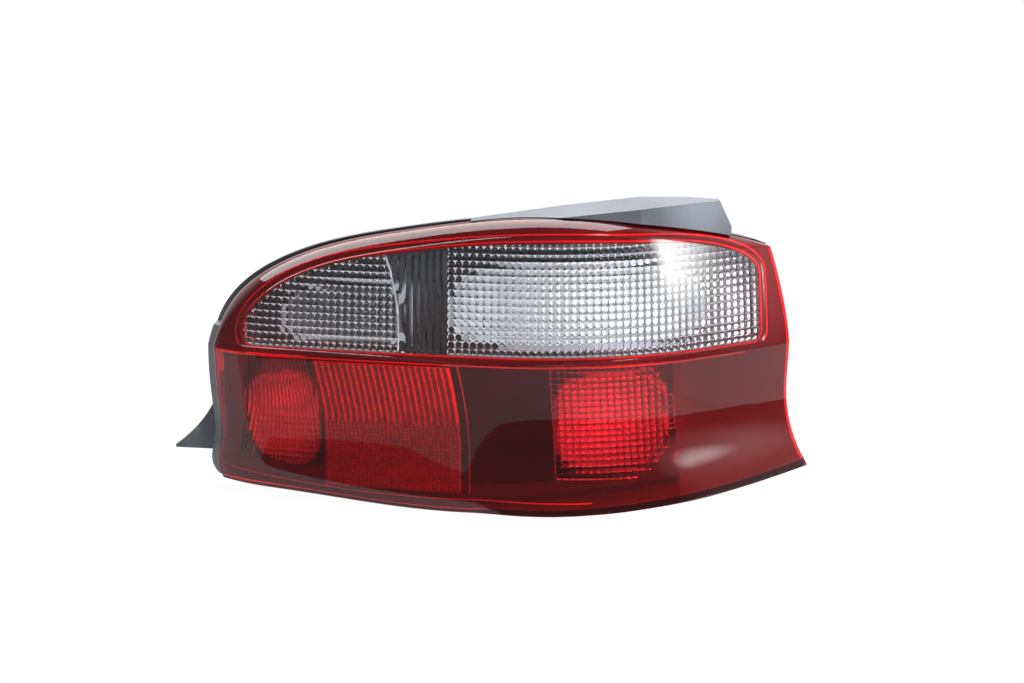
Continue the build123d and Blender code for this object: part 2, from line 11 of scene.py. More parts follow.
import bpy
import numpy as np
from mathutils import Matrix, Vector


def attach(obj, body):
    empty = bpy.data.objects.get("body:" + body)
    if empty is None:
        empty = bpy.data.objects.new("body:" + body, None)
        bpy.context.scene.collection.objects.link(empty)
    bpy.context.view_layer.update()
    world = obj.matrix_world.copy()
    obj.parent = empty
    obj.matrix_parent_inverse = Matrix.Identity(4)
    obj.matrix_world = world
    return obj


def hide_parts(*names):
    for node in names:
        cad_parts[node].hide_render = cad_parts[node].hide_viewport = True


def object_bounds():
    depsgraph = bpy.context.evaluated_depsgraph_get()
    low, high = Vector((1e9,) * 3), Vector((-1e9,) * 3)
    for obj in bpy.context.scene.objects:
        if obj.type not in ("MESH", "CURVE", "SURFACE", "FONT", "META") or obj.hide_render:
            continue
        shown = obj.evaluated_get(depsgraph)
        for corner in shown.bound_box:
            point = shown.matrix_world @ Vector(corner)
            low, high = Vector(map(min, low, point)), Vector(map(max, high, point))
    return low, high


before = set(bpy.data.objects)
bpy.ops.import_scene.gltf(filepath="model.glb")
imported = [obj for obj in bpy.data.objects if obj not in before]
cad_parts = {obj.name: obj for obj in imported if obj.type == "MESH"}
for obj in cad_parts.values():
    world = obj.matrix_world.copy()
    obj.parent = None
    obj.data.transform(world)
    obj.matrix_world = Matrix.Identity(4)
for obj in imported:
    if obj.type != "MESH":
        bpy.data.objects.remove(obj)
CAD_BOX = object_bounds()

MM = 0.001
TINY = 1e-9
TABLE_GAP = 0.0002
BUMP_STRENGTH = 0.5
SPOT_RADIUS = 0.01
WHITE = "#ffffff"
EASE = {"interpolation_type": "SMOOTHSTEP"}
LOG = logging.getLogger("lamp")

Array = np.ndarray
Node = bpy.types.Node
Piece = bpy.types.Object
Socket = bpy.types.NodeSocket
Tree = bpy.types.NodeTree
Pair = tuple[float, float]
Place = tuple[float, float, float]
Run = tuple[Pair, ...]


def linear(colour: str) -> tuple[float, float, float, float]:
    """Turn an sRGB hex colour to linear light.

    Args:
        colour: Six hex digits after a hash sign.

    Returns:
        Linear red, green, blue and a full alpha.
    """
    parts = [int(colour[i:i + 2], 16) / 255.0 for i in (1, 3, 5)]
    light = [c / 12.92 if c <= 0.04045 else ((c + 0.055) / 1.055) ** 2.4 for c in parts]
    return (light[0], light[1], light[2], 1.0)


def add_node(tree: Tree, kind: str, settings: Optional[dict] = None, links: Optional[dict] = None) -> Node:
    """Add a shader node with its settings and links.

    Args:
        tree: Node tree that gets the node.
        kind: Type of the node.
        settings: Values by property name, input name or input number.
        links: Output sockets by input name or input number.

    Returns:
        The new node.
    """
    node = tree.nodes.new(kind)
    for key, value in (settings or {}).items():
        if isinstance(key, int) or key in node.inputs:
            node.inputs[key].default_value = value
        else:
            setattr(node, key, value)
    for key, socket in (links or {}).items():
        tree.links.new(socket, node.inputs[key])
    return node


def blank_material(name: str) -> bpy.types.Material:
    """Make a material with an empty node tree.

    Args:
        name: Name of the material.

    Returns:
        The new material.
    """
    made = bpy.data.materials.new(name)
    made.use_nodes = True
    made.node_tree.nodes.clear()
    return made


def smooth(value: Array) -> Array:
    """Ease from 0 to 1."""
    value = np.clip(value, 0.0, 1.0)
    return value * value * (3.0 - 2.0 * value)


def sawtooth(turns: Array) -> Array:
    """Run from -1 to 1 over each whole turn."""
    return 2.0 * np.mod(turns, 1.0) - 1.0


def xz(places: Array) -> tuple[Array, Array]:
    """Places across and heights of points in the front view."""
    return places[..., 0], places[..., 1]


def run_share(run: Array) -> Array:
    """Share of its length at each point of a run."""
    steps = np.linalg.norm(np.diff(run, axis=0), axis=1)
    return np.concatenate([[0.0], np.cumsum(steps)]) / steps.sum()


def chain(runs: Sequence[Array]) -> Array:
    """One run from runs that meet end to end."""
    return np.concatenate([*(run[:-1] for run in runs[:-1]), runs[-1]])


class Pattern(Enum):
    """Texture that carries the fine unevenness of a finish."""

    CLOUD = "ShaderNodeTexNoise"
    CELLS = "ShaderNodeTexVoronoi"


@dataclass(frozen=True)
class ShadedRimZone:
    """Walls of a bowl next to the lens, in a darker colour that fades out from the front to the back: painted
    shade.
    """

    colour: str
    front: float
    back: float

    def share(self, tree: Tree, place: Node) -> Socket:
        """Add the nodes of the zone.

        Args:
            tree: Node tree of the material.
            place: Texture coordinates.

        Returns:
            1 in the zone and 0 outside.
        """
        axes = add_node(tree, "ShaderNodeSeparateXYZ", {}, {0: place.outputs["Object"]})
        ramp = add_node(tree, "ShaderNodeMapRange",
                        {**EASE, "From Min": self.front * MM, "From Max": self.back * MM,
                         "To Min": 1.0, "To Max": 0.0}, {"Value": axes.outputs["Y"]})
        return ramp.outputs[0]


@dataclass(frozen=True)
class OuterZone:
    """Outside of a bowl: the faces that look away from its axis."""

    colour: str
    axis: Pair

    def share(self, tree: Tree, place: Node) -> Socket:
        """Add the nodes of the zone.

        Args:
            tree: Node tree of the material.
            place: Texture coordinates.

        Returns:
            1 in the zone and 0 outside.
        """
        axis_x, axis_z = self.axis
        from_axis = add_node(tree, "ShaderNodeVectorMath",
                             {"operation": "SUBTRACT", 1: (axis_x * MM, 0.0, axis_z * MM)},
                             {0: place.outputs["Object"]})
        upright = add_node(tree, "ShaderNodeVectorMath", {"operation": "MULTIPLY", 1: (1.0, 0.0, 1.0)},
                           {0: from_axis.outputs[0]})
        turned = add_node(tree, "ShaderNodeVectorMath", {"operation": "DOT_PRODUCT"},
                          {0: upright.outputs[0], 1: place.outputs["Normal"]})
        away = add_node(tree, "ShaderNodeMath", {"operation": "GREATER_THAN", 1: 0.0},
                        {0: turned.outputs["Value"]})
        return away.outputs[0]


@dataclass(frozen=True)
class PaintedLightZone:
    """Stretch of a floor square to the depth, with eased limits across and up, in a pale colour that paints
    light on it.
    """

    colour: str
    depth: float
    across: Pair
    up: Pair
    play: float = 0.8

    def share(self, tree: Tree, place: Node) -> Socket:
        """Add the nodes of the zone.

        Args:
            tree: Node tree of the material.
            place: Texture coordinates.

        Returns:
            1 in the zone and 0 outside.
        """
        axes = add_node(tree, "ShaderNodeSeparateXYZ", {}, {0: place.outputs["Object"]})
        share = add_node(tree, "ShaderNodeMath",
                         {"operation": "COMPARE", 1: self.depth * MM, 2: self.play * MM},
                         {0: axes.outputs["Y"]})
        for axis, (start, full) in (("X", self.across), ("Z", self.up)):
            ramp = add_node(tree, "ShaderNodeMapRange",
                            {**EASE, "From Min": start * MM, "From Max": full * MM},
                            {"Value": axes.outputs[axis]})
            share = add_node(tree, "ShaderNodeMath", {"operation": "MULTIPLY"},
                             {0: share.outputs[0], 1: ramp.outputs[0]})
        return share.outputs[0]


@dataclass(frozen=True)
class Finish:
    """One real material and how its surface was made, with grain and relief in millimetres."""

    name: str
    colour: str
    shade: str
    roughness: float
    rough_swing: float
    pattern: Pattern
    grain: float
    relief: float = 0.0
    metallic: float = 0.0
    ior: float = 1.5
    transmission: float = 0.0
    zones: tuple = ()

    def material(self) -> bpy.types.Material:
        """Make the material, or give the one that was made before.

        Returns:
            The material of this finish.
        """
        made = bpy.data.materials.get(self.name)
        if made is not None:
            return made
        made = blank_material(self.name)
        tree = made.node_tree
        place = add_node(tree, "ShaderNodeTexCoord")
        texture = add_node(tree, self.pattern.value, {"Scale": 1.0 / (self.grain * MM)},
                           {"Vector": place.outputs["Object"]})
        uneven = texture.outputs.get("Fac") or texture.outputs["Distance"]
        tone = add_node(tree, "ShaderNodeMix",
                        {"data_type": "RGBA", 6: linear(self.colour), 7: linear(self.shade)}, {0: uneven})
        for zone in self.zones:
            tone = add_node(tree, "ShaderNodeMix", {"data_type": "RGBA", 7: linear(zone.colour)},
                            {0: zone.share(tree, place), 6: tone.outputs[2]})
        gloss = add_node(tree, "ShaderNodeMapRange",
                         {"To Min": max(0.0, self.roughness - self.rough_swing),
                          "To Max": self.roughness + self.rough_swing}, {"Value": uneven})
        shader = add_node(tree, "ShaderNodeBsdfPrincipled",
                          {"Metallic": self.metallic, "IOR": self.ior,
                           "Transmission Weight": self.transmission},
                          {"Base Color": tone.outputs[2], "Roughness": gloss.outputs[0]})
        if self.relief:
            bump = add_node(tree, "ShaderNodeBump", {"Strength": BUMP_STRENGTH, "Distance": self.relief * MM},
                            {"Height": uneven})
            tree.links.new(bump.outputs[0], shader.inputs["Normal"])
        add_node(tree, "ShaderNodeOutputMaterial", {}, {"Surface": shader.outputs[0]})
        return made


# Red PMMA from a polished tool: clear gloss, with faint clouds where the melt flowed
RED_LENS = Finish("red_pmma_polished", "#e0222c", "#d81c28", 0.015, 0.01, Pattern.CLOUD, 40.0,
                  ior=1.49, transmission=1.0)
# Red PMMA from a spark-eroded tool: frosted ribs and edges that scatter the light they catch
FROSTED_RED = Finish("red_pmma_frosted", "#b83038", "#a82830", 0.5, 0.08, Pattern.CLOUD, 1.5,
                     relief=0.05, ior=1.49, transmission=0.25)
# Red PMMA in painted shade: an opaque deep red that stands for the dark sealing groove and the shade behind
# the lens, with no view of what lies behind
SHADE_PAINTED_RED = Finish("red_pmma_painted_shade", "#441418", "#3c1215", 0.5, 0.08, Pattern.CLOUD, 1.5,
                    relief=0.05, ior=1.49)
# Smoked clear PMMA from a polished tool: a thin grey tint over a clear view of the chambers
SMOKED_LENS = Finish("smoked_pmma_polished", "#ecedf0", "#e6e8ec", 0.015, 0.01, Pattern.CLOUD, 40.0,
                     ior=1.49, transmission=1.0)
# Frosted clear PMMA of a rib's edge: a pale line that holds the light
FROSTED_CLEAR = Finish("clear_pmma_frosted", "#b8bac0", "#a8aab2", 0.45, 0.08, Pattern.CLOUD, 1.5,
                       relief=0.05, ior=1.49, transmission=0.2)
# Red PMMA with corner prisms and a metallised back: it sends light back as a dull red glow
REFLEX_BACK = Finish("red_pmma_metallised", "#b83840", "#782430", 0.32, 0.06, Pattern.CELLS, 2.4,
                     relief=0.3, ior=1.49)
# Slate-grey polypropylene from a grained tool: dull sheen with a fine leathery grain, and painted light: a
# pale pink patch on the floor beside the reversing lamp's bowl, where light through the red border falls
HOUSING = Finish("slate_polypropylene_grained", "#44474e", "#3c3f45", 0.36, 0.06, Pattern.CELLS, 0.9,
                 relief=0.05, ior=1.49, zones=(PaintedLightZone("#f2dee3", -10.5, (84.0, 96.0), (-4.0, 2.0)),))
# Aluminium vapour on moulded plastic, dulled by its clear coat: half a mirror and half a plain grey
METALLISED = Finish("vapour_metallised_plastic", "#a6a8ae", "#989aa0", 0.32, 0.05, Pattern.CLOUD, 6.0,
                    relief=0.03, metallic=0.5)
# Silver lacquer sprayed into the bowl: flakes in a clear binder, part mirror and part milky white
SILVERED = Finish("silver_lacquered_plastic", "#eceef0", "#e4e6e8", 0.36, 0.05, Pattern.CLOUD, 6.0,
                  relief=0.03, metallic=0.25)
# The same lacquer with the walls next to the lens in a darker grey, a painted shade that fades out towards
# the back
SILVERED_DEEP = replace(SILVERED, name="silver_lacquered_plastic_deep",
                        zones=(ShadedRimZone("#8a8c92", -82.0, -62.0),))
# The same again in the shallow outboard bowl, with the same painted shade by the lens, and its outside in
# bare slate-grey plastic
SILVERED_SHALLOW = replace(SILVERED, name="silver_lacquered_plastic_shallow",
                           zones=(ShadedRimZone("#8a8c92", -68.0, -54.0), OuterZone("#44474e", (-158.0, -34.0))))
# Off-white polyamide from a plain tool: satin with faint flow clouds
CARRIER = Finish("off_white_polyamide_moulded", "#d9d6cb", "#cfccc0", 0.48, 0.06, Pattern.CLOUD, 8.0,
                 relief=0.05, ior=1.53)
# Die-cut EPDM foam: matt, open at the cut cells, drawn at 1.2 mm so that they show
FOAM = Finish("epdm_foam_die_cut", "#26272a", "#18191b", 0.9, 0.05, Pattern.CELLS, 1.2, relief=0.35)
# Butyl sealing bead: smooth, dull and nearly black
SEALANT = Finish("butyl_bead_poured", "#2e2f33", "#27282b", 0.55, 0.08, Pattern.CLOUD, 5.0, relief=0.1)
# Soda-lime glass frosted inside: a milky bulb that glows in the light it catches
BULB_GLASS = Finish("soda_lime_glass_frosted", "#f4f4f2", "#ececea", 0.3, 0.05, Pattern.CLOUD, 9.0,
                    relief=0.03, ior=1.52, transmission=0.3)
# The same glass with a thin silver coat: amber when lit, a pale mirror when not
COATED_GLASS = Finish("soda_lime_glass_silver_coated", "#b8b3ac", "#a9a49d", 0.14, 0.03, Pattern.CLOUD, 5.0,
                      relief=0.03, metallic=0.9)
# Nickel-plated pressed brass: pale warm metal with a faint uneven sheen
BULB_CAP = Finish("nickel_plated_brass_pressed", "#cfcac0", "#bdb8ae", 0.28, 0.06, Pattern.CLOUD, 1.4,
                  relief=0.02, metallic=1.0)
# Rolled and stamped brass strip: yellow metal with a faint cloudy sheen
TRACK_BRASS = Finish("brass_strip_rolled", "#d6b36a", "#c6a258", 0.3, 0.07, Pattern.CLOUD, 2.2,
                     relief=0.02, metallic=1.0)
# Zinc-plated steel: grey with a crystalline bloom
STUD_ZINC = Finish("zinc_plated_steel_turned", "#b4b7b8", "#9fa3a6", 0.36, 0.08, Pattern.CELLS, 1.1,
                   relief=0.02, metallic=1.0)


def node_finishes() -> dict[str, Finish]:
    """Finishes of the nodes that show their own solids.

    Returns:
        Finish by node name.
    """
    finishes = {"lens_seal": SEALANT, "housing": HOUSING, "body_gasket": FOAM, "carrier_seal": FOAM,
                "bulb_carrier": CARRIER, "outboard_stud": STUD_ZINC, "inboard_stud": STUD_ZINC,
                "earth_track": TRACK_BRASS}
    bowls = {"indicator": METALLISED, "reverse": SILVERED_DEEP, "stop": SILVERED_DEEP,
             "tail": SILVERED_SHALLOW}
    for lamp, bowl in bowls.items():
        finishes[lamp + "_reflector"] = bowl
        finishes[lamp + "_bulb_glass"] = COATED_GLASS if lamp == "indicator" else BULB_GLASS
        finishes[lamp + "_bulb_cap"] = BULB_CAP
        finishes[lamp + "_track"] = TRACK_BRASS
    return finishes


class Curve:
    """Smooth plane curve through points, sampled by length."""

    STEPS = 60
    REACH = 0.2

    def __init__(self, points: Sequence[Sequence[float]], straight: bool = False) -> None:
        """Hold the curve as a dense run of points.

        Args:
            points: Places that the curve passes through.
            straight: True for straight runs between the places.
        """
        knots = np.asarray(points, float)
        self.points = knots if straight else self.bent(knots)
        steps = np.linalg.norm(np.diff(self.points, axis=0), axis=1)
        self.along = np.concatenate([[0.0], np.cumsum(steps)])
        self.length = float(self.along[-1])

    def bent(self, knots: Array) -> Array:
        """Cubic curve through three or more places, with even bending at each.

        Args:
            knots: Places that the curve passes through.

        Returns:
            A dense run of points.
        """
        gaps = np.linalg.norm(np.diff(knots, axis=0), axis=1)
        slopes = np.diff(knots, axis=0) / gaps[:, None]
        count = len(knots)
        matrix = np.zeros((count, count))
        sides = np.zeros((count, 2))
        matrix[0, 0] = matrix[-1, -1] = 1.0
        for end, next_in in ((0, 1), (-1, -2)):
            bend = gaps[end] / (gaps[end] + gaps[next_in])
            sides[end] = slopes[end] + (slopes[end] - slopes[next_in]) * bend
        for i in range(1, count - 1):
            matrix[i, i - 1] = 1.0 / gaps[i - 1]
            matrix[i, i + 1] = 1.0 / gaps[i]
            matrix[i, i] = 2.0 * (matrix[i, i - 1] + matrix[i, i + 1])
            sides[i] = 3.0 * (slopes[i - 1] / gaps[i - 1] + slopes[i] / gaps[i])
        tangents = np.linalg.solve(matrix, sides)
        runs = [knots[:1]]
        t = np.linspace(0.0, 1.0, self.STEPS + 1)[1:, None]
        rise = t * t * (3.0 - 2.0 * t)
        for i in range(count - 1):
            runs.append((1.0 - rise) * knots[i] + rise * knots[i + 1]
                        + gaps[i] * (t * (1.0 - t) ** 2 * tangents[i] - t * t * (1.0 - t) * tangents[i + 1]))
        return np.concatenate(runs)

    def at(self, along: Array) -> Array:
        """Points at lengths along the curve."""
        return np.stack([np.interp(along, self.along, self.points[:, k]) for k in (0, 1)], axis=-1)

    def inward(self, along: Array) -> Array:
        """Unit directions to the right of the curve at lengths along it.

        Args:
            along: Lengths from the start.

        Returns:
            One direction for each length.
        """
        ahead = self.at(np.minimum(along + self.REACH, self.length))
        run = ahead - self.at(np.maximum(along - self.REACH, 0.0))
        run /= np.linalg.norm(run, axis=-1, keepdims=True)
        return np.stack([run[..., 1], -run[..., 0]], axis=-1)


@dataclass
class LensSkin:
    """Front skin of the lens as a formula: tangent arcs in plan, leans and a flare upright.

    An arc of the plan has its first and last turn in degrees and its radius.
    """

    depth: float = 118.0
    wall: float = 2.6
    arcs: tuple = ((-62.0, -19.0, 90.0), (-19.0, -12.0, 1200.0), (-12.0, 36.0, 140.0), (36.0, 44.0, 900.0))
    upper_lean: float = 0.26
    upper_bow: float = 0.0012
    calm_lean: float = 0.10
    calm_bow: float = 0.00095
    flare_lean: float = 0.13
    flare_bow: float = 0.000068
    flare_knee: float = 70.0
    flare_end_slope: float = 0.87
    flare_from_x: float = -50.0
    flare_run: float = 90.0
    joint_low: Pair = (-88.0, 14.0)
    joint_high: Pair = (82.0, 42.0)
    turns: Array = field(init=False)
    plan_x: Array = field(init=False)
    plan_y: Array = field(init=False)

    PLAN_POINTS = 21201
    HALVINGS = 30
    SLOPE_STEP = 0.25

    def __post_init__(self) -> None:
        """Lay out the plan line by its turn angle."""
        self.turns = np.radians(np.linspace(self.arcs[0][0], self.arcs[-1][1], self.PLAN_POINTS))
        middle = np.degrees((self.turns[1:] + self.turns[:-1]) / 2)
        radius = np.zeros_like(middle)
        for start, end, size in self.arcs:
            radius[(middle >= start) & (middle <= end)] = size
        step_x = radius * np.diff(np.sin(self.turns))
        step_y = -radius * np.diff(np.cos(self.turns))
        self.plan_x = np.concatenate([[0.0], np.cumsum(step_x)])
        self.plan_y = np.concatenate([[0.0], np.cumsum(step_y)])
        self.plan_x -= np.interp(0.0, self.turns, self.plan_x)
        self.plan_y -= np.interp(0.0, self.turns, self.plan_y)

    def stand(self, x: Array, z: Array) -> Array:
        """How far the skin stands out of the crease line.

        Args:
            x: Places along the crease line.
            z: Heights over the crease line.

        Returns:
            Distance along the plan's outward direction.
        """
        drop = np.maximum(-z, 0.0)
        rise = np.maximum(z, 0.0)
        calm = -self.calm_lean * drop + self.calm_bow * drop**2
        knee = np.minimum(drop, self.flare_knee)
        flare = -self.flare_lean * knee + self.flare_bow * knee**3 + self.flare_end_slope * (drop - knee)
        share = smooth((x - self.flare_from_x) / self.flare_run)
        lean = -self.upper_lean * rise - self.upper_bow * rise**2
        return (1.0 - share) * calm + share * flare + lean

    def front(self, x: Array, z: Array) -> Array:
        """Depth of the skin at places in the front view.

        Args:
            x: Places across.
            z: Heights.

        Returns:
            The y of the skin.
        """
        x, z = np.broadcast_arrays(np.asarray(x, float), np.asarray(z, float))
        low = np.full(x.shape, self.turns[0])
        high = np.full(x.shape, self.turns[-1])
        for _ in range(self.HALVINGS):
            turn = (low + high) / 2
            base = np.interp(turn, self.turns, self.plan_x)
            short = base + self.stand(base, z) * np.sin(turn) < x
            low = np.where(short, turn, low)
            high = np.where(short, high, turn)
        return np.interp(turn, self.turns, self.plan_y) - self.stand(base, z) * np.cos(turn) - self.depth

    def behind(self, x: Array, z: Array, thickness: Array | float) -> Array:
        """Depth of a face behind the skin, measured square to the plan.

        Args:
            x: Places across.
            z: Heights.
            thickness: Distance from the skin.

        Returns:
            The y of that face.
        """
        step = self.SLOPE_STEP
        slope = (self.front(x + step, z) - self.front(x - step, z)) / (2.0 * step)
        return self.front(x, z) + thickness * np.sqrt(1.0 + slope**2)

    def joint(self, x: Array, z: Array) -> Array:
        """Depth of the joint between lens and housing."""
        share = (z - self.joint_low[0]) / (self.joint_high[0] - self.joint_low[0])
        return self.front(x, 0.0 * z) + self.joint_low[1] + share * (self.joint_high[1] - self.joint_low[1])


class Sheets:
    """Mesh put together from point grids, welded where they meet within half a thousandth of a millimetre."""

    WELD = 2000.0

    def __init__(self) -> None:
        """Start with no grids."""
        self.points: list[Array] = []
        self.quads: list[Array] = []
        self.slots: list[Array] = []
        self.count = 0

    def add(self, places: Array, depth: Array, slot: int = 0, flip: bool = False,
            keep: Optional[Array] = None) -> None:
        """Add a grid of points as quads.

        Args:
            places: Points in the front view, by row and column.
            depth: Their depths.
            slot: Material slot of the quads.
            flip: Turn the quads round.
            keep: Quads to keep, by row and column.
        """
        rows, columns = depth.shape
        index = np.arange(rows * columns).reshape(rows, columns) + self.count
        quads = np.stack([index[:-1, :-1], index[:-1, 1:], index[1:, 1:], index[1:, :-1]], axis=-1)
        if flip:
            quads = quads[..., ::-1]
        quads = quads[keep] if keep is not None else quads.reshape(-1, 4)
        self.points.append(np.stack([places[..., 0], depth, places[..., 1]], axis=-1).reshape(-1, 3))
        self.quads.append(quads)
        self.slots.append(np.full(len(quads), int(slot)))
        self.count += rows * columns

    def add_band(self, runs: Iterable[tuple[Array, Array]], slot: int = 0, flip: bool = False) -> None:
        """Add a band over runs of points.

        Args:
            runs: Points in the front view and their depths, run by run.
            slot: Material slot of the quads.
            flip: Turn the quads round.
        """
        places, depths = zip(*runs)
        self.add(np.array(places), np.array(depths), slot, flip)

    def build(self, name: str, finishes: Sequence[Finish], sharp: float) -> Piece:
        """Weld the grids and make the object.

        Args:
            name: Name of the piece.
            finishes: Finishes by material slot.
            sharp: Angle in degrees over which an edge stays crisp.

        Returns:
            The new object.
        """
        points = np.concatenate(self.points)
        quads = np.concatenate(self.quads)
        slots = np.concatenate(self.slots)
        keys = np.round(points * self.WELD).astype(np.int64)
        _, first, back = np.unique(keys, axis=0, return_index=True, return_inverse=True)
        used, quads = np.unique(back.reshape(-1)[quads], return_inverse=True)
        quads = quads.reshape(-1, 4)
        points = points[first[used]]
        whole = np.array([len(set(quad)) == 4 for quad in quads.tolist()])
        quads, slots = quads[whole], slots[whole]
        mesh = bpy.data.meshes.new(name)
        mesh.vertices.add(len(points))
        mesh.vertices.foreach_set("co", (points * MM).ravel())
        mesh.loops.add(quads.size)
        mesh.loops.foreach_set("vertex_index", quads.ravel())
        mesh.polygons.add(len(quads))
        mesh.polygons.foreach_set("loop_start", np.arange(len(quads)) * 4)
        mesh.polygons.foreach_set("material_index", slots)
        mesh.polygons.foreach_set("use_smooth", np.ones(len(quads), bool))
        mesh.update(calc_edges=True)
        mesh.validate()
        mesh.set_sharp_from_angle(angle=math.radians(sharp))
        for finish in finishes:
            mesh.materials.append(finish.material())
        piece = bpy.data.objects.new(name, mesh)
        bpy.context.scene.collection.objects.link(piece)
        return piece


def patch(low: Array, high: Array, first: Array, last: Array) -> Array:
    """Fill four edges with a grid.

    Args:
        low: Lower edge, from first to last.
        high: Upper edge, the same way.
        first: Edge at the start, from low to high.
        last: Edge at the end, from low to high.

    Returns:
        Points by row, from low to high, and column.
    """
    s = np.linspace(0.0, 1.0, len(low))[None, :, None]
    t = np.linspace(0.0, 1.0, len(first))[:, None, None]
    corners = ((1 - s) * (1 - t) * low[0] + s * (1 - t) * low[-1] + (1 - s) * t * high[0] + s * t * high[-1])
    return (1 - t) * low[None] + t * high[None] + (1 - s) * first[:, None] + s * last[:, None] - corners


def inside_loop(places: Array, loop: Array) -> Array:
    """Tell which points lie inside a closed run.

    Args:
        places: Points in the front view.
        loop: Closed run of points.

    Returns:
        True for the points inside.
    """
    x, z = xz(places)
    inside = np.zeros(x.shape, bool)
    for (x0, z0), (x1, z1) in zip(loop[:-1], loop[1:]):
        if z0 != z1:
            inside ^= ((z0 > z) != (z1 > z)) & (x < x0 + (z - z0) / (z1 - z0) * (x1 - x0))
    return inside


def nearest_on_loop(places: Array, loop: Array) -> Array:
    """Nearest places on a closed run.

    Args:
        places: Points to move.
        loop: Closed run of points.

    Returns:
        The moved points.
    """
    best = np.full(len(places), np.inf)
    moved = places.copy()
    for a, b in zip(loop[:-1], loop[1:]):
        run = b - a
        share = np.clip(((places - a) @ run) / (run @ run), 0.0, 1.0)
        foot = a + share[:, None] * run
        far = np.sum((places - foot) ** 2, axis=1)
        closer = far < best
        best[closer] = far[closer]
        moved[closer] = foot[closer]
    return moved


@dataclass
class LensOutline:
    """Edge of the lens in the front view, clockwise, with the window in its upper half."""

    top: Run = ((-203.4, 0), (-190.3, 30), (-151.3, 56.7), (-88.3, 73), (0, 82), (60, 76.4), (114, 65.6),
                (138.2, 57.8))
    inboard: Run = ((138.2, 57.8), (145.4, 29.2), (149.2, 0), (148.4, -26.7), (151.4, -53.3), (160.2, -74))
    lower: Run = ((160.2, -74), (95, -78.9), (26, -82.6), (-40, -88.6), (-149, -83.4), (-199, -80.5))
    outboard: Run = ((-199, -80.5), (-202.3, -74), (-200.2, -57), (-201.2, -36), (-203.4, 0))
    window_top: Run = ((-183.5, 11), (-175, 28.5), (-146.5, 47.5), (-88, 61.2), (-11, 68.2), (57, 66.8),
                       (116, 56.4))
    window_shoulder: Run = ((122.6, 52.6), (127.0, 48.0), (128.3, 46.0))
    window_shoulder_z: float = 44.0
    window_side_x: float = 128.8
    window_sill_z: float = 4.6
    window_corner: float = 5.0
    roll: float = 7.0
    roll_grow: float = 45.0
    roll_fade: float = 22.0
    edge_round: float = 0.8
    corner_room: float = 3.4
    points: Array = field(init=False)
    inward: Array = field(init=False)
    rolls: Array = field(init=False)
    spans: dict = field(init=False)

    COUNTS = {"top": 150, "high": 28, "low": 34, "foot": 150, "side": 34}
    CORNER_STEPS = 10

    def __post_init__(self) -> None:
        """Sample the loop of edges with inward directions and edge radii."""
        top, inboard = Curve(self.top), Curve(self.inboard)
        foot, side = Curve(self.lower), Curve(self.outboard)
        split = float(np.interp(0.0, -inboard.points[:, 1], inboard.along))
        stretches = {"top": (top, 0.0, top.length), "high": (inboard, 0.0, split),
                     "low": (inboard, split, inboard.length), "foot": (foot, 0.0, foot.length),
                     "side": (side, 0.0, side.length)}
        places, inwards, rolls = [], [], []
        self.spans = {}
        start = 0
        for name, (curve, begin, end) in stretches.items():
            inner = np.linspace(begin + self.corner_room, end - self.corner_room, self.COUNTS[name] - 2)
            along = np.concatenate([[begin], inner, [end]])
            places.append(curve.at(along))
            inwards.append(curve.inward(along))
            grown = smooth((along - begin) / self.roll_grow) * smooth((end - along) / self.roll_fade)
            extra = (self.roll - self.edge_round) * grown if name == "top" else 0.0 * along
            rolls.append(self.edge_round + extra)
            self.spans[name] = (start, start + len(along) - 1)
            start += len(along) - 1
        for now, later in zip(inwards, inwards[1:] + inwards[:1]):
            later[0] = (now[-1] + later[0]) / (1.0 + now[-1] @ later[0])
        self.points = np.concatenate([p[:-1] for p in places])
        self.inward = np.concatenate([n[:-1] for n in inwards])
        self.rolls = np.concatenate([r[:-1] for r in rolls])

    def loop(self, inset: Array | float) -> Array:
        """Closed loop of outline points moved inwards."""
        moved = self.points + self.inward * np.broadcast_to(inset, self.rolls.shape)[:, None]
        return np.concatenate([moved, moved[:1]])

    def span(self, loop: Array, name: str) -> Array:
        """Stretch of a loop along one edge."""
        first, last = self.spans[name]
        return loop[first:last + 1]

    def window(self) -> dict[str, Curve]:
        """Window edges, clockwise from the middle of its outboard end.

        Returns:
            Curves of the crown, the inboard side and the sill.
        """
        crown = np.asarray(self.window_top, float)
        side, sill, corner = self.window_side_x, self.window_sill_z, self.window_corner
        half = self.CORNER_STEPS // 2
        turn = np.radians(np.linspace(0.0, 90.0, self.CORNER_STEPS + 1))
        cos, sin = np.cos(turn), np.sin(turn)
        bend = np.stack([side - corner + corner * cos, sill + corner - corner * sin], axis=-1)
        rise = crown[0][1] - sill
        tail = np.stack([crown[0][0] + corner - corner * sin, crown[0][1] - rise * cos], axis=-1)
        return {
            "top": Curve([tail[half], *crown, *self.window_shoulder[:2]]),
            "high": Curve([*self.window_shoulder[1:], (side, self.window_shoulder_z), *bend[:half + 1]],
                          straight=True),
            "sill": Curve([*bend[half:], *tail[:half + 1]], straight=True),
        }


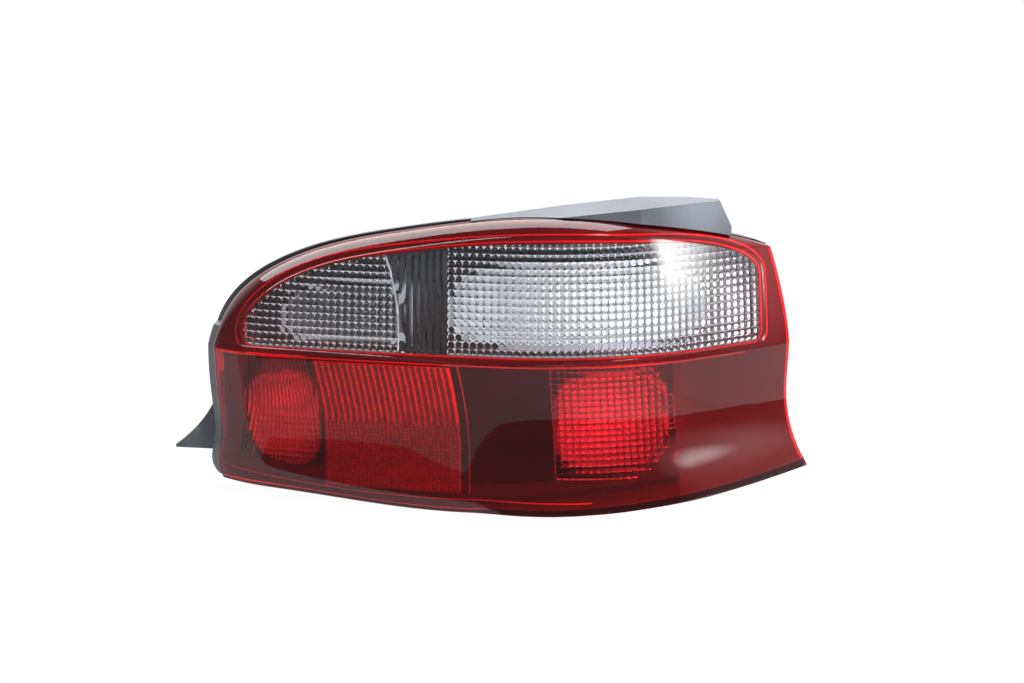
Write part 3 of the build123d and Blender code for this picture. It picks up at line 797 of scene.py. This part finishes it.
@dataclass
class LensOptics:
    """Optics on the inside of the lens, and the lines that divide them at five heights."""

    depth: float = 66.0
    rows: int = 19
    samples: int = 6
    pillow_bulge: float = 0.8
    flute_bulge: float = 0.4
    tail_flutes: int = 20
    stop_pillows: int = 18
    stop_middle: float = 32.0
    stop_reach: float = 34.0
    split: float = -38.2
    levels: tuple = (0.0, -17.0, -32.5, -50.7, -80.0)
    tail_from: tuple = (-181.0, -182.0, -183.0, -186.0, -191.0)
    tail_to: tuple = (-145.0, -141.2, -138.2, -136.8, -137.0)
    reflex_from: tuple = (-141.4, -137.6, -134.6, -133.2, -133.4)
    reflex_to: tuple = (-59.0, -55.4, -53.0, -51.6, -51.7)
    reflex_border: tuple = (-55.0, -51.4, -49.0, -47.6, -47.7)
    stop_from: tuple = (-0.4, 0.6, 1.6, 2.6, 4.2)
    stop_to: tuple = (71.6, 72.6, 73.6, 74.6, 76.2)
    strip_edge: Run = ((-88.4, 6.0), (-89.9, 34.6), (-96.2, 58.0))

    @property
    def row(self) -> float:
        """Height of one row of optics."""
        return self.depth / self.rows

    def line(self, places: tuple, z: Array) -> Array:
        """Place of a dividing line at heights."""
        return np.interp(-z, [-level for level in self.levels], places)

    def dividers(self, z: Array) -> list[Array]:
        """Places of all dividing lines at heights, from outboard to inboard."""
        lines = (self.tail_from, self.tail_to, self.reflex_from, self.reflex_to, self.reflex_border,
                 self.stop_from, self.stop_to)
        return [self.line(places, z) for places in lines]


class Cell(Enum):
    """Stretch of the lower lens between two dividing lines, with its columns."""

    SKIRT = 5
    TAIL = 120
    BAR = 3
    REFLEX = 24
    BORDER = 4
    PLAIN = 16
    STOP = 108
    FLARE = 26


class RedSlot(IntEnum):
    """Material slots of the red moulding."""

    POLISHED = 0
    FROSTED = 1
    PAINTED_SHADE = 2


@dataclass
class RedLens:
    """Wrap-round red moulding: skin, rolled top, skirt and the optics of the lower half."""

    skin: LensSkin
    outline: LensOutline
    optics: LensOptics
    bead_at: float = 4.4
    bead: float = 0.35
    bead_width: float = 0.7
    bead_room: float = 1.6
    near_rows: int = 16
    near_limit: float = 0.9
    far_rows: int = 7
    roll_rows: int = 9
    skirt_rows: int = 4
    back_rows: int = 6
    foot_rows: int = 12

    SHARP = 18.0
    FLOOR_PASSES = 4

    def build(self) -> Piece:
        """Make the moulding.

        Returns:
            The lens as one object.
        """
        sheets = Sheets()
        self.add_lower_skin(sheets)
        self.add_upper_skin(sheets)
        self.add_edge(sheets)
        self.add_lower_optics(sheets)
        self.add_upper_back(sheets)
        return sheets.build("red_lens_moulded", (RED_LENS, FROSTED_RED, SHADE_PAINTED_RED), self.SHARP)

    def crease(self, inset: Array | float) -> Array:
        """Crease line from the outboard to the inboard edge of a loop.

        Args:
            inset: Move of the lens edge inwards.

        Returns:
            As many points as the lower edge has.
        """
        loop = self.outline.loop(inset)
        first, last = self.outline.span(loop, "side")[-1], self.outline.span(loop, "low")[0]
        return first + run_share(self.outline.span(loop, "foot")[::-1])[:, None] * (last - first)

    def add_lower_skin(self, sheets: Sheets) -> None:
        """Front skin below the crease.

        Args:
            sheets: Mesh that gets the skin.
        """
        loop = self.outline.loop(self.outline.rolls)
        grid = patch(self.outline.span(loop, "foot")[::-1], self.crease(self.outline.rolls),
                     self.outline.span(loop, "side"), self.outline.span(loop, "low")[::-1])
        sheets.add(grid, self.skin.front(*xz(grid)))

    def ring(self, inset: Array | float) -> tuple[Array, Array]:
        """Window edge and lens edge round the upper half, point by point.

        Args:
            inset: Move of the lens edge inwards.

        Returns:
            Closed runs of window points and of lens points.
        """
        loop = self.outline.loop(inset)
        outer = {"top": self.outline.span(loop, "top"), "high": self.outline.span(loop, "high"),
                 "sill": self.crease(inset)[::-1]}
        inner = [curve.at(run_share(outer[name]) * curve.length)
                 for name, curve in self.outline.window().items()]
        return chain(inner), chain(list(outer.values()))

    def add_upper_skin(self, sheets: Sheets) -> None:
        """Front skin between window and edge, with a bead round the window.

        Args:
            sheets: Mesh that gets the skin.
        """
        inner, outer = self.ring(self.outline.rolls)
        reach = np.linalg.norm(outer - inner, axis=1)
        near = np.linspace(0.0, self.bead_at + self.bead_room, self.near_rows)
        share = np.minimum(near[:, None] / reach[None], self.near_limit)
        far = np.linspace(0.0, 1.0, self.far_rows)[1:, None]
        share = np.concatenate([share, share[-1:] + far * (1.0 - share[-1:])])
        grid = inner[None] + share[..., None] * (outer - inner)[None]
        bead = self.bead * np.exp(-((share * reach[None] - self.bead_at) / self.bead_width) ** 2)
        bead[-1] = 0.0
        sheets.add(grid, self.skin.front(*xz(grid)) - bead)

    def add_edge(self, sheets: Sheets) -> None:
        """Rolled edge, skirt and joint face all round.

        Args:
            sheets: Mesh that gets the edge.
        """
        outline, skin = self.outline, self.skin
        rolls = np.append(outline.rolls, outline.rolls[0])
        shares = np.linspace(0.0, 1.0, self.skirt_rows)
        runs = []
        for angle in np.linspace(0.0, math.pi / 2, self.roll_rows):
            loop = outline.loop(outline.rolls * (1.0 - math.sin(angle)))
            runs.append((loop, skin.front(*xz(loop)) + rolls * (1.0 - math.cos(angle))))
        edge, rim = outline.loop(0.0), runs[-1][1]
        back = skin.joint(*xz(edge))
        sheets.add_band(runs + [(edge, rim + share * (back - rim)) for share in shares[1:]])
        inside = outline.loop(skin.wall)
        sheets.add_band(((edge, back), (inside, back)))
        front = skin.behind(*xz(inside), skin.wall)
        for name, (first, last) in outline.spans.items():
            part = slice(first, last + 1)
            # The inner skirt at the top and foot is painted deep red shade; at the sides it is frosted
            sheets.add_band([(inside[part], (back + share * (front - back))[part]) for share in shares],
                            RedSlot.PAINTED_SHADE if name in ("top", "foot") else RedSlot.FROSTED)

    def add_lower_optics(self, sheets: Sheets) -> None:
        """Inside of the lower half with the flutes and pillows of its cells.

        Args:
            sheets: Mesh that gets the inside.
        """
        optics = self.optics
        loop = self.outline.loop(self.skin.wall)
        side, low = self.outline.span(loop, "side"), self.outline.span(loop, "low")[::-1]
        foot = self.outline.span(loop, "foot")[::-1]
        rows = optics.rows * optics.samples + 1
        even = np.linspace(0.0, -optics.depth, rows)
        level = np.append(even, np.full(self.foot_rows, -optics.depth))[:, None]
        drop = np.append(np.zeros(rows), np.linspace(0.0, 1.0, self.foot_rows + 1)[1:])[:, None]
        z = np.repeat(level, sum(cell.value for cell in Cell) + 1, axis=1)
        for _ in range(self.FLOOR_PASSES):
            x, cells, share = self.spread([np.interp(z, side[:, 1], side[:, 0]), *optics.dividers(z),
                                           np.interp(z, low[:, 1], low[:, 0])])
            z = level + drop * (np.interp(x, foot[:, 0], foot[:, 1]) - level)
        bulge = self.bulge(z, cells, share)
        bulge[0] = bulge[-1] = 0.0
        places, depth = np.stack([x, z], axis=-1), self.skin.behind(x, z, self.skin.wall + bulge)
        flare = x.shape[1] - 1 - Cell.FLARE.value
        # The inside of the flare is painted deep red shade
        for part, slot in ((np.s_[:, :flare + 1], RedSlot.POLISHED), (np.s_[:, flare:], RedSlot.PAINTED_SHADE)):
            sheets.add(places[part], depth[part], slot)

    def spread(self, bounds: Sequence[Array]) -> tuple[Array, Array, Array]:
        """Spread the columns of each cell between its two dividing lines.

        Args:
            bounds: Dividing lines by row and column, from outboard to inboard.

        Returns:
            Places across, the cell's number and the share of the way across it, by column.
        """
        x = np.empty_like(bounds[0])
        cells, shares = [0], [0.0]
        x[:, 0] = bounds[0][:, 0]
        start = 1
        for number, cell in enumerate(Cell):
            share = np.linspace(0.0, 1.0, cell.value + 1)[1:]
            columns = slice(start, start + cell.value)
            left, right = bounds[number][:, columns], bounds[number + 1][:, columns]
            x[:, columns] = left * (1.0 - share) + right * share
            cells += [number] * cell.value
            shares += list(share)
            start += cell.value
        return x, np.array(cells), np.array(shares)

    def bulge(self, z: Array, cells: Array, share: Array) -> Array:
        """Height of the optics over the plain inside.

        Args:
            z: Heights.
            cells: Number of the cell, by column.
            share: Share of the way across the cell, by column.

        Returns:
            Height by row and column.
        """
        optics, names = self.optics, list(Cell)
        rows = 1.0 - sawtooth(-z / optics.row) ** 2
        flutes = 1.0 - sawtooth(share[None] * optics.tail_flutes) ** 2 + rows * (z < optics.split)
        pillows = 1.0 - sawtooth(share[None] * optics.stop_pillows) ** 2 + rows
        column = np.floor(np.minimum(share, 1.0 - TINY) * optics.stop_pillows)[None]
        middle_x = (column + 0.5) / optics.stop_pillows
        middle_z = (np.floor(-z / optics.row) + 0.5) * optics.row
        # The stop lamp's pillows keep their square corners outboard and end in an arc inboard
        within = np.hypot(2.0 * np.maximum(middle_x - 0.5, 0.0),
                          (middle_z - optics.stop_middle) / optics.stop_reach) < 1.0
        high = (cells == names.index(Cell.TAIL)) * optics.flute_bulge * flutes
        high = high + (cells == names.index(Cell.STOP)) * optics.pillow_bulge * pillows * within
        return high * (z >= -optics.depth - TINY)

    def add_upper_back(self, sheets: Sheets) -> None:
        """Inside of the border round the window, and its edge at the window.

        Args:
            sheets: Mesh that gets the inside.
        """
        inner, outer = self.ring(self.skin.wall)
        share = np.linspace(0.0, 1.0, self.back_rows)[:, None, None]
        grid = inner[None] + share * (outer - inner)[None]
        depth = self.skin.behind(*xz(grid), self.skin.wall)
        # The inside of the border and its edge at the window are painted deep red shade
        sheets.add(grid, depth, RedSlot.PAINTED_SHADE, flip=True)
        sheets.add_band(((inner, self.skin.front(*xz(inner))), (inner, depth[0])), RedSlot.PAINTED_SHADE, flip=True)


@dataclass
class ReflexInsert:
    """Red insert behind the lens: slanted ribs in its upper half, small points in its lower half."""

    skin: LensSkin
    optics: LensOptics
    top: float = -3.2
    foot: float = -78.4
    gap: float = 0.15
    prism: float = 1.3
    web: float = 1.4
    ribs: int = 22
    rib_rows: int = 14
    points: int = 33
    point_rows: float = 1.5
    samples: int = 4

    SHARP = 12.0

    def build(self) -> Piece:
        """Make the insert.

        Returns:
            The insert as one object.
        """
        optics, split = self.optics, self.optics.split
        pitch = optics.row / self.point_rows
        share = np.linspace(0.0, 1.0, self.samples * self.points + 1)
        rows = np.arange(int((split - self.foot) / pitch * self.samples) + 1) * pitch / self.samples
        z = np.concatenate([np.linspace(self.top, split, self.rib_rows)[:-1], split - rows])[:, None]
        x = (1.0 - share) * optics.line(optics.reflex_from, z) + share * optics.line(optics.reflex_to, z)
        z = np.repeat(z, len(share), axis=1)
        ribs = 1.0 - np.abs(sawtooth(share * self.ribs))
        across = 1.0 - np.abs(sawtooth(share * self.points))
        along = 1.0 - np.abs(sawtooth((split - z) / pitch))
        height = np.where(z > split - TINY, ribs, np.minimum(across, along))
        near = self.skin.wall + self.gap
        front = self.skin.behind(x, z, near + self.prism * (1.0 - height))
        back = self.skin.behind(x, z, near + self.prism + self.web)
        places = np.stack([x, z], axis=-1)
        sheets = Sheets()
        sheets.add(places, front, flip=True)
        sheets.add(places, back)
        for side, flip in ((np.s_[0], False), (np.s_[-1], True), (np.s_[:, 0], True), (np.s_[:, -1], False)):
            sheets.add_band(((places[side], front[side]), (places[side], back[side])), flip=flip)
        return sheets.build("reflex_insert_prisms", (REFLEX_BACK,), self.SHARP)


@dataclass
class ClearLens:
    """Smoked clear pane in the upper half: square pillows on its inside, flutes between the two chambers."""

    skin: LensSkin
    outline: LensOutline
    optics: LensOptics
    joint: float = 0.08
    edge_step: float = 1.6
    front_steps: Pair = (2.0, 1.9)
    pillow: Pair = (4.2, 4.1)
    samples: int = 8
    bulge: Pair = (1.05, 1.0)
    strip_to: float = -58.8
    strip_bulge: float = 0.7

    SHARP = 20.0

    def edge(self) -> Array:
        """Closed run of points round the pane.

        Returns:
            The run, with its first point again at its end.
        """
        runs = []
        for curve in self.outline.window().values():
            along = np.linspace(0.0, curve.length, int(curve.length / self.edge_step) + 2)
            runs.append(curve.at(along)[:-1] + self.joint * curve.inward(along)[:-1])
        return np.concatenate([*runs, runs[0][:1]])

    def build(self) -> Piece:
        """Make the pane.

        Returns:
            The pane as one object.
        """
        sheets = Sheets()
        edge = self.edge()
        self.add_face(sheets, edge, self.front_steps, False)
        self.add_face(sheets, edge, (self.pillow[0] / self.samples, self.pillow[1] / self.samples), True)
        front, back = self.skin.front(*xz(edge)), self.skin.behind(*xz(edge), self.skin.wall)
        sheets.add_band(((edge, front), (edge, back)), flip=True)
        return sheets.build("clear_lens_moulded", (SMOKED_LENS,), self.SHARP)

    def add_face(self, sheets: Sheets, edge: Array, steps: Pair, inside: bool) -> None:
        """Add one face of the pane, trimmed to its edge.

        Args:
            sheets: Mesh that gets the face.
            edge: Closed run of points round the pane.
            steps: Grid steps across and up.
            inside: True for the face with the pillows.
        """
        first = np.floor(edge.min(axis=0) / self.pillow) * self.pillow
        count = np.ceil((edge.max(axis=0) - first) / steps).astype(int) + 1
        lines = [first[k] + steps[k] * np.arange(count[k]) for k in (0, 1)]
        grid = np.stack(np.meshgrid(*lines), axis=-1)
        within = inside_loop(grid, edge)
        corners = (np.s_[:-1, :-1], np.s_[1:, :-1], np.s_[:-1, 1:], np.s_[1:, 1:])
        keep = np.logical_or.reduce([within[corner] for corner in corners])
        touched = np.zeros_like(within)
        for corner in corners:
            touched[corner] |= keep
        loose = touched & ~within
        bulge = self.relief(*xz(grid))
        bulge[loose] = 0.0
        grid[loose] = nearest_on_loop(grid[loose], edge)
        # Points that no quad uses are dropped later, and only need some place on the skin until then
        grid[~touched] = (0.0, self.outline.window_shoulder_z)
        depth = self.skin.behind(*xz(grid), self.skin.wall + bulge) if inside else self.skin.front(*xz(grid))
        sheets.add(grid, depth, flip=inside, keep=keep)

    def relief(self, x: Array, z: Array) -> Array:
        """Height of the pillows, and of the flutes in the strip between the chambers.

        Args:
            x: Places across.
            z: Heights.

        Returns:
            Height over the plain inside.
        """
        part_x = 1.0 - sawtooth(x / self.pillow[0] + TINY) ** 2
        part_z = 1.0 - sawtooth(z / self.pillow[1] + TINY) ** 2
        starts, heights = zip(*self.optics.strip_edge)
        strip = (x > np.interp(z, heights, starts)) & (x < self.strip_to - TINY)
        return np.where(strip, self.strip_bulge * part_x, self.bulge[0] * part_x + self.bulge[1] * part_z)


@dataclass
class LensRibs:
    """Frosted ribs on the inside of the lens that show as thin bright lines.

    A line beside the window has the window's edge and its distance from it.
    """

    skin: LensSkin
    outline: LensOutline
    optics: LensOptics
    height: float = 1.6
    sunk: float = 0.9
    window_lines: tuple = (("top", 0.9), ("high", 0.9), ("top", 4.6), ("high", 4.6), ("sill", 0.9))
    window_step: float = 2.0
    window_width: float = 0.75
    foot: Run = ((-192.8, -72.3), (-149.3, -77.5), (-52.4, -81.5), (5.8, -78.5), (24.0, -77.4))
    foot_count: int = 140
    foot_width: float = 0.5
    crease_x: Pair = (-199.0, 118.0)
    crease_z: float = -1.2
    crease_count: int = 170
    border_z: Pair = (-2.0, -78.0)
    border_off: float = 1.0
    border_count: int = 40
    line_width: float = 0.7
    chamber_count: int = 40
    chamber_width: float = 0.8

    SHARP = 30.0

    def rib(self, sheets: Sheets, path: Array, width: float) -> None:
        """Lay a square rib along a path in the front view.

        Args:
            sheets: Mesh that gets the rib.
            path: Places along the rib.
            width: Width of the rib.
        """
        run = np.gradient(path, axis=0)
        run /= np.linalg.norm(run, axis=1, keepdims=True)
        across = np.stack([run[:, 1], -run[:, 0]], axis=-1) * width / 2
        left, right = path - across, path + across
        near = self.skin.wall - self.sunk
        far = near + self.height
        corners = ((left, near), (right, near), (right, far), (left, far), (left, near))
        places = np.array([place for place, _ in corners])
        depths = np.array([self.skin.behind(*xz(place), back) for place, back in corners])
        sheets.add(places, depths, flip=True)
        cap = np.array([[0, 1], [3, 2]])
        for end, flip in ((0, True), (-1, False)):
            sheets.add(places[cap, end], depths[cap, end], flip=flip)

    def build_red(self) -> Piece:
        """Make the ribs of the red moulding.

        Returns:
            The ribs as one object.
        """
        sheets = Sheets()
        window = self.outline.window()
        for name, off in self.window_lines:
            curve = window[name]
            along = np.linspace(0.0, curve.length, int(curve.length / self.window_step))
            self.rib(sheets, curve.at(along) - off * curve.inward(along), self.window_width)
        foot = Curve(self.foot)
        self.rib(sheets, foot.at(np.linspace(0.0, foot.length, self.foot_count)), self.foot_width)
        x = np.linspace(*self.crease_x, self.crease_count)
        self.rib(sheets, np.stack([x, np.full_like(x, self.crease_z)], axis=-1), self.line_width)
        z = np.linspace(*self.border_z, self.border_count)
        x = self.optics.line(self.optics.reflex_border, z) + self.border_off
        self.rib(sheets, np.stack([x, z], axis=-1), self.line_width)
        return sheets.build("lens_ribs_frosted", (FROSTED_RED,), self.SHARP)

    def build_clear(self) -> Piece:
        """Make the rib between the two clear chambers.

        Returns:
            The rib as one object.
        """
        sheets = Sheets()
        path = Curve(self.optics.strip_edge)
        self.rib(sheets, path.at(np.linspace(0.0, path.length, self.chamber_count)), self.chamber_width)
        return sheets.build("chamber_rib_frosted", (FROSTED_CLEAR,), self.SHARP)


def aim(thing: Piece, at: Place, target: Place) -> None:
    """Stand a thing at a place and turn it to a target."""
    thing.location = at
    thing.rotation_euler = (Vector(target) - Vector(at)).to_track_quat("-Z", "Y").to_euler()


def hide(thing: Piece, *rays: str) -> None:
    """Hide a thing from kinds of rays."""
    for ray in rays:
        setattr(thing, "visible_" + ray, False)


@dataclass(frozen=True)
class Disc:
    """Round cloth beside the object, with a value that fades from its middle to its rim."""

    name: str
    at: Place
    target: Place
    radius: float
    middle: float

    SIDES = 48

    def corners(self) -> list[Place]:
        """Places of the rim round the middle."""
        turns = np.linspace(0.0, 2.0 * math.pi, self.SIDES, endpoint=False)
        return [(self.radius * math.cos(turn), self.radius * math.sin(turn), 0.0) for turn in turns]

    def fade(self, tree: Tree) -> Socket:
        """Add the nodes of the fading value.

        Args:
            tree: Node tree of the cloth.

        Returns:
            The value.
        """
        place = add_node(tree, "ShaderNodeTexCoord")
        reach = add_node(tree, "ShaderNodeVectorMath", {"operation": "LENGTH"}, {0: place.outputs["Object"]})
        fade = add_node(tree, "ShaderNodeMapRange",
                        {**EASE, "From Min": 0.0, "From Max": self.radius,
                         "To Min": self.middle, "To Max": 0.0},
                        {"Value": reach.outputs["Value"]})
        return fade.outputs[0]


@dataclass(frozen=True)
class Lamp:
    """Lamp that no mirror shows: a soft square, or a snooted spot with a beam of so many degrees."""

    name: str
    at: Place
    target: Place
    power: float
    size: float = 0.0
    beam: float = 0.0

    def build(self) -> None:
        """Hang the lamp."""
        data = bpy.data.lights.new(self.name, "SPOT" if self.beam else "AREA")
        data.energy = self.power
        if self.beam:
            data.spot_size = math.radians(self.beam)
            data.spot_blend = 1.0
            data.shadow_soft_size = SPOT_RADIUS
        else:
            data.size = self.size
        lamp = bpy.data.objects.new(self.name, data)
        aim(lamp, self.at, self.target)
        hide(lamp, "camera", "glossy", "transmission")
        bpy.context.scene.collection.objects.link(lamp)


# A wide faint cloth and a small bright one, which the pane and the flare mirror as one soft glare
GLOWS = (Disc("side_diffuser", (1.128, -0.267, 0.517), (0.06, -0.06, 0.01), 0.5, 2.4),
         Disc("side_core", (1.117, -0.265, 0.57), (0.06, -0.06, 0.01), 0.22, 20.0))
# A black net that dims the bright cloth in the mirror of the flare alone
SCRIM = Disc("side_scrim", (0.296, -0.145, 0.06), (0.091, -0.115, -0.056), 0.12, 0.8)
LAMPS = (
    Lamp("top_softbox", (0.1, 0.4, 1.5), (0.0, -0.05, 0.0), 90.0, size=1.2),
    Lamp("side_softbox", (1.1, -0.35, 0.6), (0.0, -0.05, 0.0), 36.0, size=0.5),
    Lamp("chamber_spot", (0.5, -1.5, 0.45), (0.04, -0.08, 0.01), 33.0, beam=18.0),
    Lamp("reverse_spot", (0.05, -1.6, 0.5), (0.04, -0.05, 0.034), 170.0, beam=3.6),
    Lamp("stop_spot", (0.3, -1.6, 0.1), (0.042, -0.06, -0.031), 330.0, beam=3.2),
    Lamp("tail_spot", (-0.6, -1.4, 0.2), (-0.163, -0.03, -0.026), 130.0, beam=2.8),
    Lamp("border_spot", (0.9, -0.9, 0.3), (0.112, -0.01, 0.03), 130.0, beam=4.4),
    Lamp("wedge_spot", (0.9, -1.0, 0.5), (0.085, -0.045, 0.09), 280.0, beam=3.0),
    Lamp("reflex_spot", (1.0, -0.75, 0.2), (-0.094, -0.095, -0.014), 200.0, beam=3.2),
)


@dataclass
class Studio:
    """White table, cloths that the lens mirrors, hidden lamps, pale room and the camera."""

    camera_at: Place = (-0.0219, -1.1987, 0.2055)
    camera_tilt: float = 80.0
    sensor: float = 36.0
    lens: float = 67.25
    table: Run = ((-1.5, -0.15), (1.5, -0.15), (1.5, 1.5), (-1.5, 1.5))
    table_glow: float = 0.97
    card: Run = ((-1.1, -0.15), (-0.583, -0.409), (-0.354, -0.515), (-0.28, -0.579), (1.3, -2.5), (2.5, -2.5),
                 (2.5, -0.15))
    card_drop: float = 0.08
    card_x: Pair = (-0.3, 0.5)
    card_light: Pair = (0.6, 1.0)
    strip: Run = ((-1.8, -0.5), (0.75, -0.5), (0.75, 1.1), (-1.8, 1.1))
    strip_z: float = 1.3
    strip_light: float = 7.0
    room_y: Pair = (-0.1, 0.5)
    room_light: Pair = (0.2, 1.0)

    def build(self, floor_z: float) -> None:
        """Set up the table, the cloths, the lamps, the room and the camera.

        Args:
            floor_z: Height of the table in metres.
        """
        self.add_table(floor_z)
        self.add_card(floor_z - self.card_drop)
        for disc in GLOWS:
            self.add_glow(disc)
        self.add_strip()
        self.add_scrim(SCRIM)
        for lamp in LAMPS:
            lamp.build()
        self.set_room()
        self.add_camera()

    def add_sheet(self, name: str, corners: Sequence[Place], cloth: str) -> tuple[Piece, Tree]:
        """Add one flat face to the stage.

        Args:
            name: Name of the sheet.
            corners: Places of its corners in metres.
            cloth: Name of its material.

        Returns:
            The sheet and the empty node tree of its material.
        """
        mesh = bpy.data.meshes.new(name)
        mesh.from_pydata(corners, [], [list(range(len(corners)))])
        material = blank_material(cloth)
        mesh.materials.append(material)
        sheet = bpy.data.objects.new(name, mesh)
        bpy.context.scene.collection.objects.link(sheet)
        return sheet, material.node_tree

    def add_table(self, floor_z: float) -> None:
        """Lay the table, white in the picture, in mirrors and through the lens, with a faint shadow on it.

        Args:
            floor_z: Height of the table.
        """
        _, tree = self.add_sheet("table", [(x, y, floor_z) for x, y in self.table], "white_paper_matt")
        rays = add_node(tree, "ShaderNodeLightPath")
        seen = rays.outputs["Is Camera Ray"]
        for ray in ("Is Glossy Ray", "Is Transmission Ray"):
            either = add_node(tree, "ShaderNodeMath", {"operation": "MAXIMUM"},
                              {0: seen, 1: rays.outputs[ray]})
            seen = either.outputs[0]
        share = add_node(tree, "ShaderNodeMath", {"operation": "MULTIPLY", 1: self.table_glow}, {0: seen})
        matt = add_node(tree, "ShaderNodeBsdfDiffuse", {"Color": linear("#f4f4f4")})
        glow = add_node(tree, "ShaderNodeEmission", {"Color": linear(WHITE), "Strength": 1.0})
        mix = add_node(tree, "ShaderNodeMixShader", {},
                       {0: share.outputs[0], 1: matt.outputs[0], 2: glow.outputs[0]})
        add_node(tree, "ShaderNodeOutputMaterial", {}, {"Surface": mix.outputs[0]})

    def add_card(self, card_z: float) -> None:
        """Lay a pale card low in front of the object, which its lower skin mirrors as a veil.

        Args:
            card_z: Height of the card.
        """
        card, tree = self.add_sheet("front_card", [(x, y, card_z) for x, y in self.card], "grey_card_matt")
        hide(card, "camera")
        place = add_node(tree, "ShaderNodeTexCoord")
        axes = add_node(tree, "ShaderNodeSeparateXYZ", {}, {0: place.outputs["Object"]})
        level = add_node(tree, "ShaderNodeMapRange",
                         {"From Min": self.card_x[0], "From Max": self.card_x[1],
                          "To Min": self.card_light[0], "To Max": self.card_light[1]},
                         {"Value": axes.outputs["X"]})
        glow = add_node(tree, "ShaderNodeEmission", {"Color": linear(WHITE)}, {"Strength": level.outputs[0]})
        add_node(tree, "ShaderNodeOutputMaterial", {}, {"Surface": glow.outputs[0]})

    def add_glow(self, disc: Disc) -> None:
        """Stand a lit round cloth beside the object that hides nothing behind it.

        Args:
            disc: Its place, size and light.
        """
        cloth, tree = self.add_sheet(disc.name, disc.corners(), "diffuser_cloth_lit")
        aim(cloth, disc.at, disc.target)
        hide(cloth, "camera", "shadow")
        glow = add_node(tree, "ShaderNodeEmission", {"Color": linear(WHITE)}, {"Strength": disc.fade(tree)})
        thin = add_node(tree, "ShaderNodeBsdfTransparent")
        both = add_node(tree, "ShaderNodeAddShader", {}, {0: glow.outputs[0], 1: thin.outputs[0]})
        add_node(tree, "ShaderNodeOutputMaterial", {}, {"Surface": both.outputs[0]})

    def add_strip(self) -> None:
        """Hang a lit sheet over the object that only mirrors show, as a streak on the rolled edge."""
        corners = [(x, y, self.strip_z) for x, y in self.strip]
        strip, tree = self.add_sheet("top_strip", corners, "strip_cloth_lit")
        hide(strip, "camera", "diffuse", "transmission", "shadow")
        glow = add_node(tree, "ShaderNodeEmission", {"Color": linear(WHITE), "Strength": self.strip_light})
        add_node(tree, "ShaderNodeOutputMaterial", {}, {"Surface": glow.outputs[0]})

    def add_scrim(self, disc: Disc) -> None:
        """Stand a round black net beside the object, densest at its middle, that only mirrors show.

        Args:
            disc: Its place and size, and the share of the light that it takes.
        """
        scrim, tree = self.add_sheet(disc.name, disc.corners(), "scrim_net_black")
        aim(scrim, disc.at, disc.target)
        hide(scrim, "camera", "diffuse", "transmission", "shadow")
        hole = add_node(tree, "ShaderNodeBsdfTransparent")
        thread = add_node(tree, "ShaderNodeBsdfDiffuse", {"Color": linear("#101010")})
        mix = add_node(tree, "ShaderNodeMixShader", {},
                       {0: disc.fade(tree), 1: hole.outputs[0], 2: thread.outputs[0]})
        add_node(tree, "ShaderNodeOutputMaterial", {}, {"Surface": mix.outputs[0]})

    def set_room(self) -> None:
        """White round the object for the camera and through the lens, a darker room in front for mirrors."""
        world = bpy.data.worlds.new("room")
        world.use_nodes = True
        tree = world.node_tree
        tree.nodes.clear()
        place = add_node(tree, "ShaderNodeTexCoord")
        way = add_node(tree, "ShaderNodeSeparateXYZ", {}, {0: place.outputs["Generated"]})
        deep = add_node(tree, "ShaderNodeMapRange",
                        {**EASE, "From Min": self.room_y[0], "From Max": self.room_y[1],
                         "To Min": self.room_light[0], "To Max": self.room_light[1]},
                        {"Value": way.outputs["Y"]})
        rays = add_node(tree, "ShaderNodeLightPath")
        seen = add_node(tree, "ShaderNodeMath", {"operation": "MAXIMUM"},
                        {0: rays.outputs["Is Camera Ray"], 1: rays.outputs["Is Transmission Ray"]})
        level = add_node(tree, "ShaderNodeMix", {"data_type": "FLOAT", 3: 1.0},
                         {0: seen.outputs[0], 2: deep.outputs[0]})
        room = add_node(tree, "ShaderNodeBackground", {"Color": linear(WHITE)},
                        {"Strength": level.outputs[0]})
        add_node(tree, "ShaderNodeOutputWorld", {}, {"Surface": room.outputs[0]})
        bpy.context.scene.world = world

    def add_camera(self) -> None:
        """Place the camera where the photograph was taken from."""
        data = bpy.data.cameras.new("camera")
        data.sensor_width = self.sensor
        data.lens = self.lens
        camera = bpy.data.objects.new("camera", data)
        camera.location = self.camera_at
        camera.rotation_euler = (math.radians(self.camera_tilt), 0.0, 0.0)
        bpy.context.scene.collection.objects.link(camera)
        bpy.context.scene.camera = camera


def install(piece: Piece, node: str, see_through: bool) -> None:
    """Join a new piece to the frame.

    Args:
        piece: Object that stands for a node.
        node: Name of the node.
        see_through: True where lamps shine through the piece.
    """
    piece.visible_shadow = not see_through
    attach(piece, "root")
    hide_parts(node)
    LOG.info("%s stands for %s with %d faces", piece.name, node, len(piece.data.polygons))


def dress(node: str, finish: Finish) -> None:
    """Give a node of the solids its finish.

    Args:
        node: Name of the node.
        finish: Finish of its surface.
    """
    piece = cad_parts[node]
    piece.data.materials.clear()
    piece.data.materials.append(finish.material())
    LOG.info("%s is dressed in %s", node, finish.name)


def main() -> None:
    """Build the lens, dress the nodes and set up the studio."""
    logging.basicConfig(level=logging.INFO, format="%(name)s: %(message)s")
    bpy.context.scene.view_settings.view_transform = "Standard"
    skin, outline, optics = LensSkin(), LensOutline(), LensOptics()
    ribs = LensRibs(skin, outline, optics)
    install(RedLens(skin, outline, optics).build(), "red_lens", True)
    install(ribs.build_red(), "red_lens", True)
    install(ClearLens(skin, outline, optics).build(), "clear_lens", True)
    install(ribs.build_clear(), "clear_lens", True)
    install(ReflexInsert(skin, optics).build(), "reflex_reflector", False)
    for node, finish in node_finishes().items():
        dress(node, finish)
    Studio().build(CAD_BOX[0].z - TABLE_GAP)


if __name__ == "__main__":
    main()
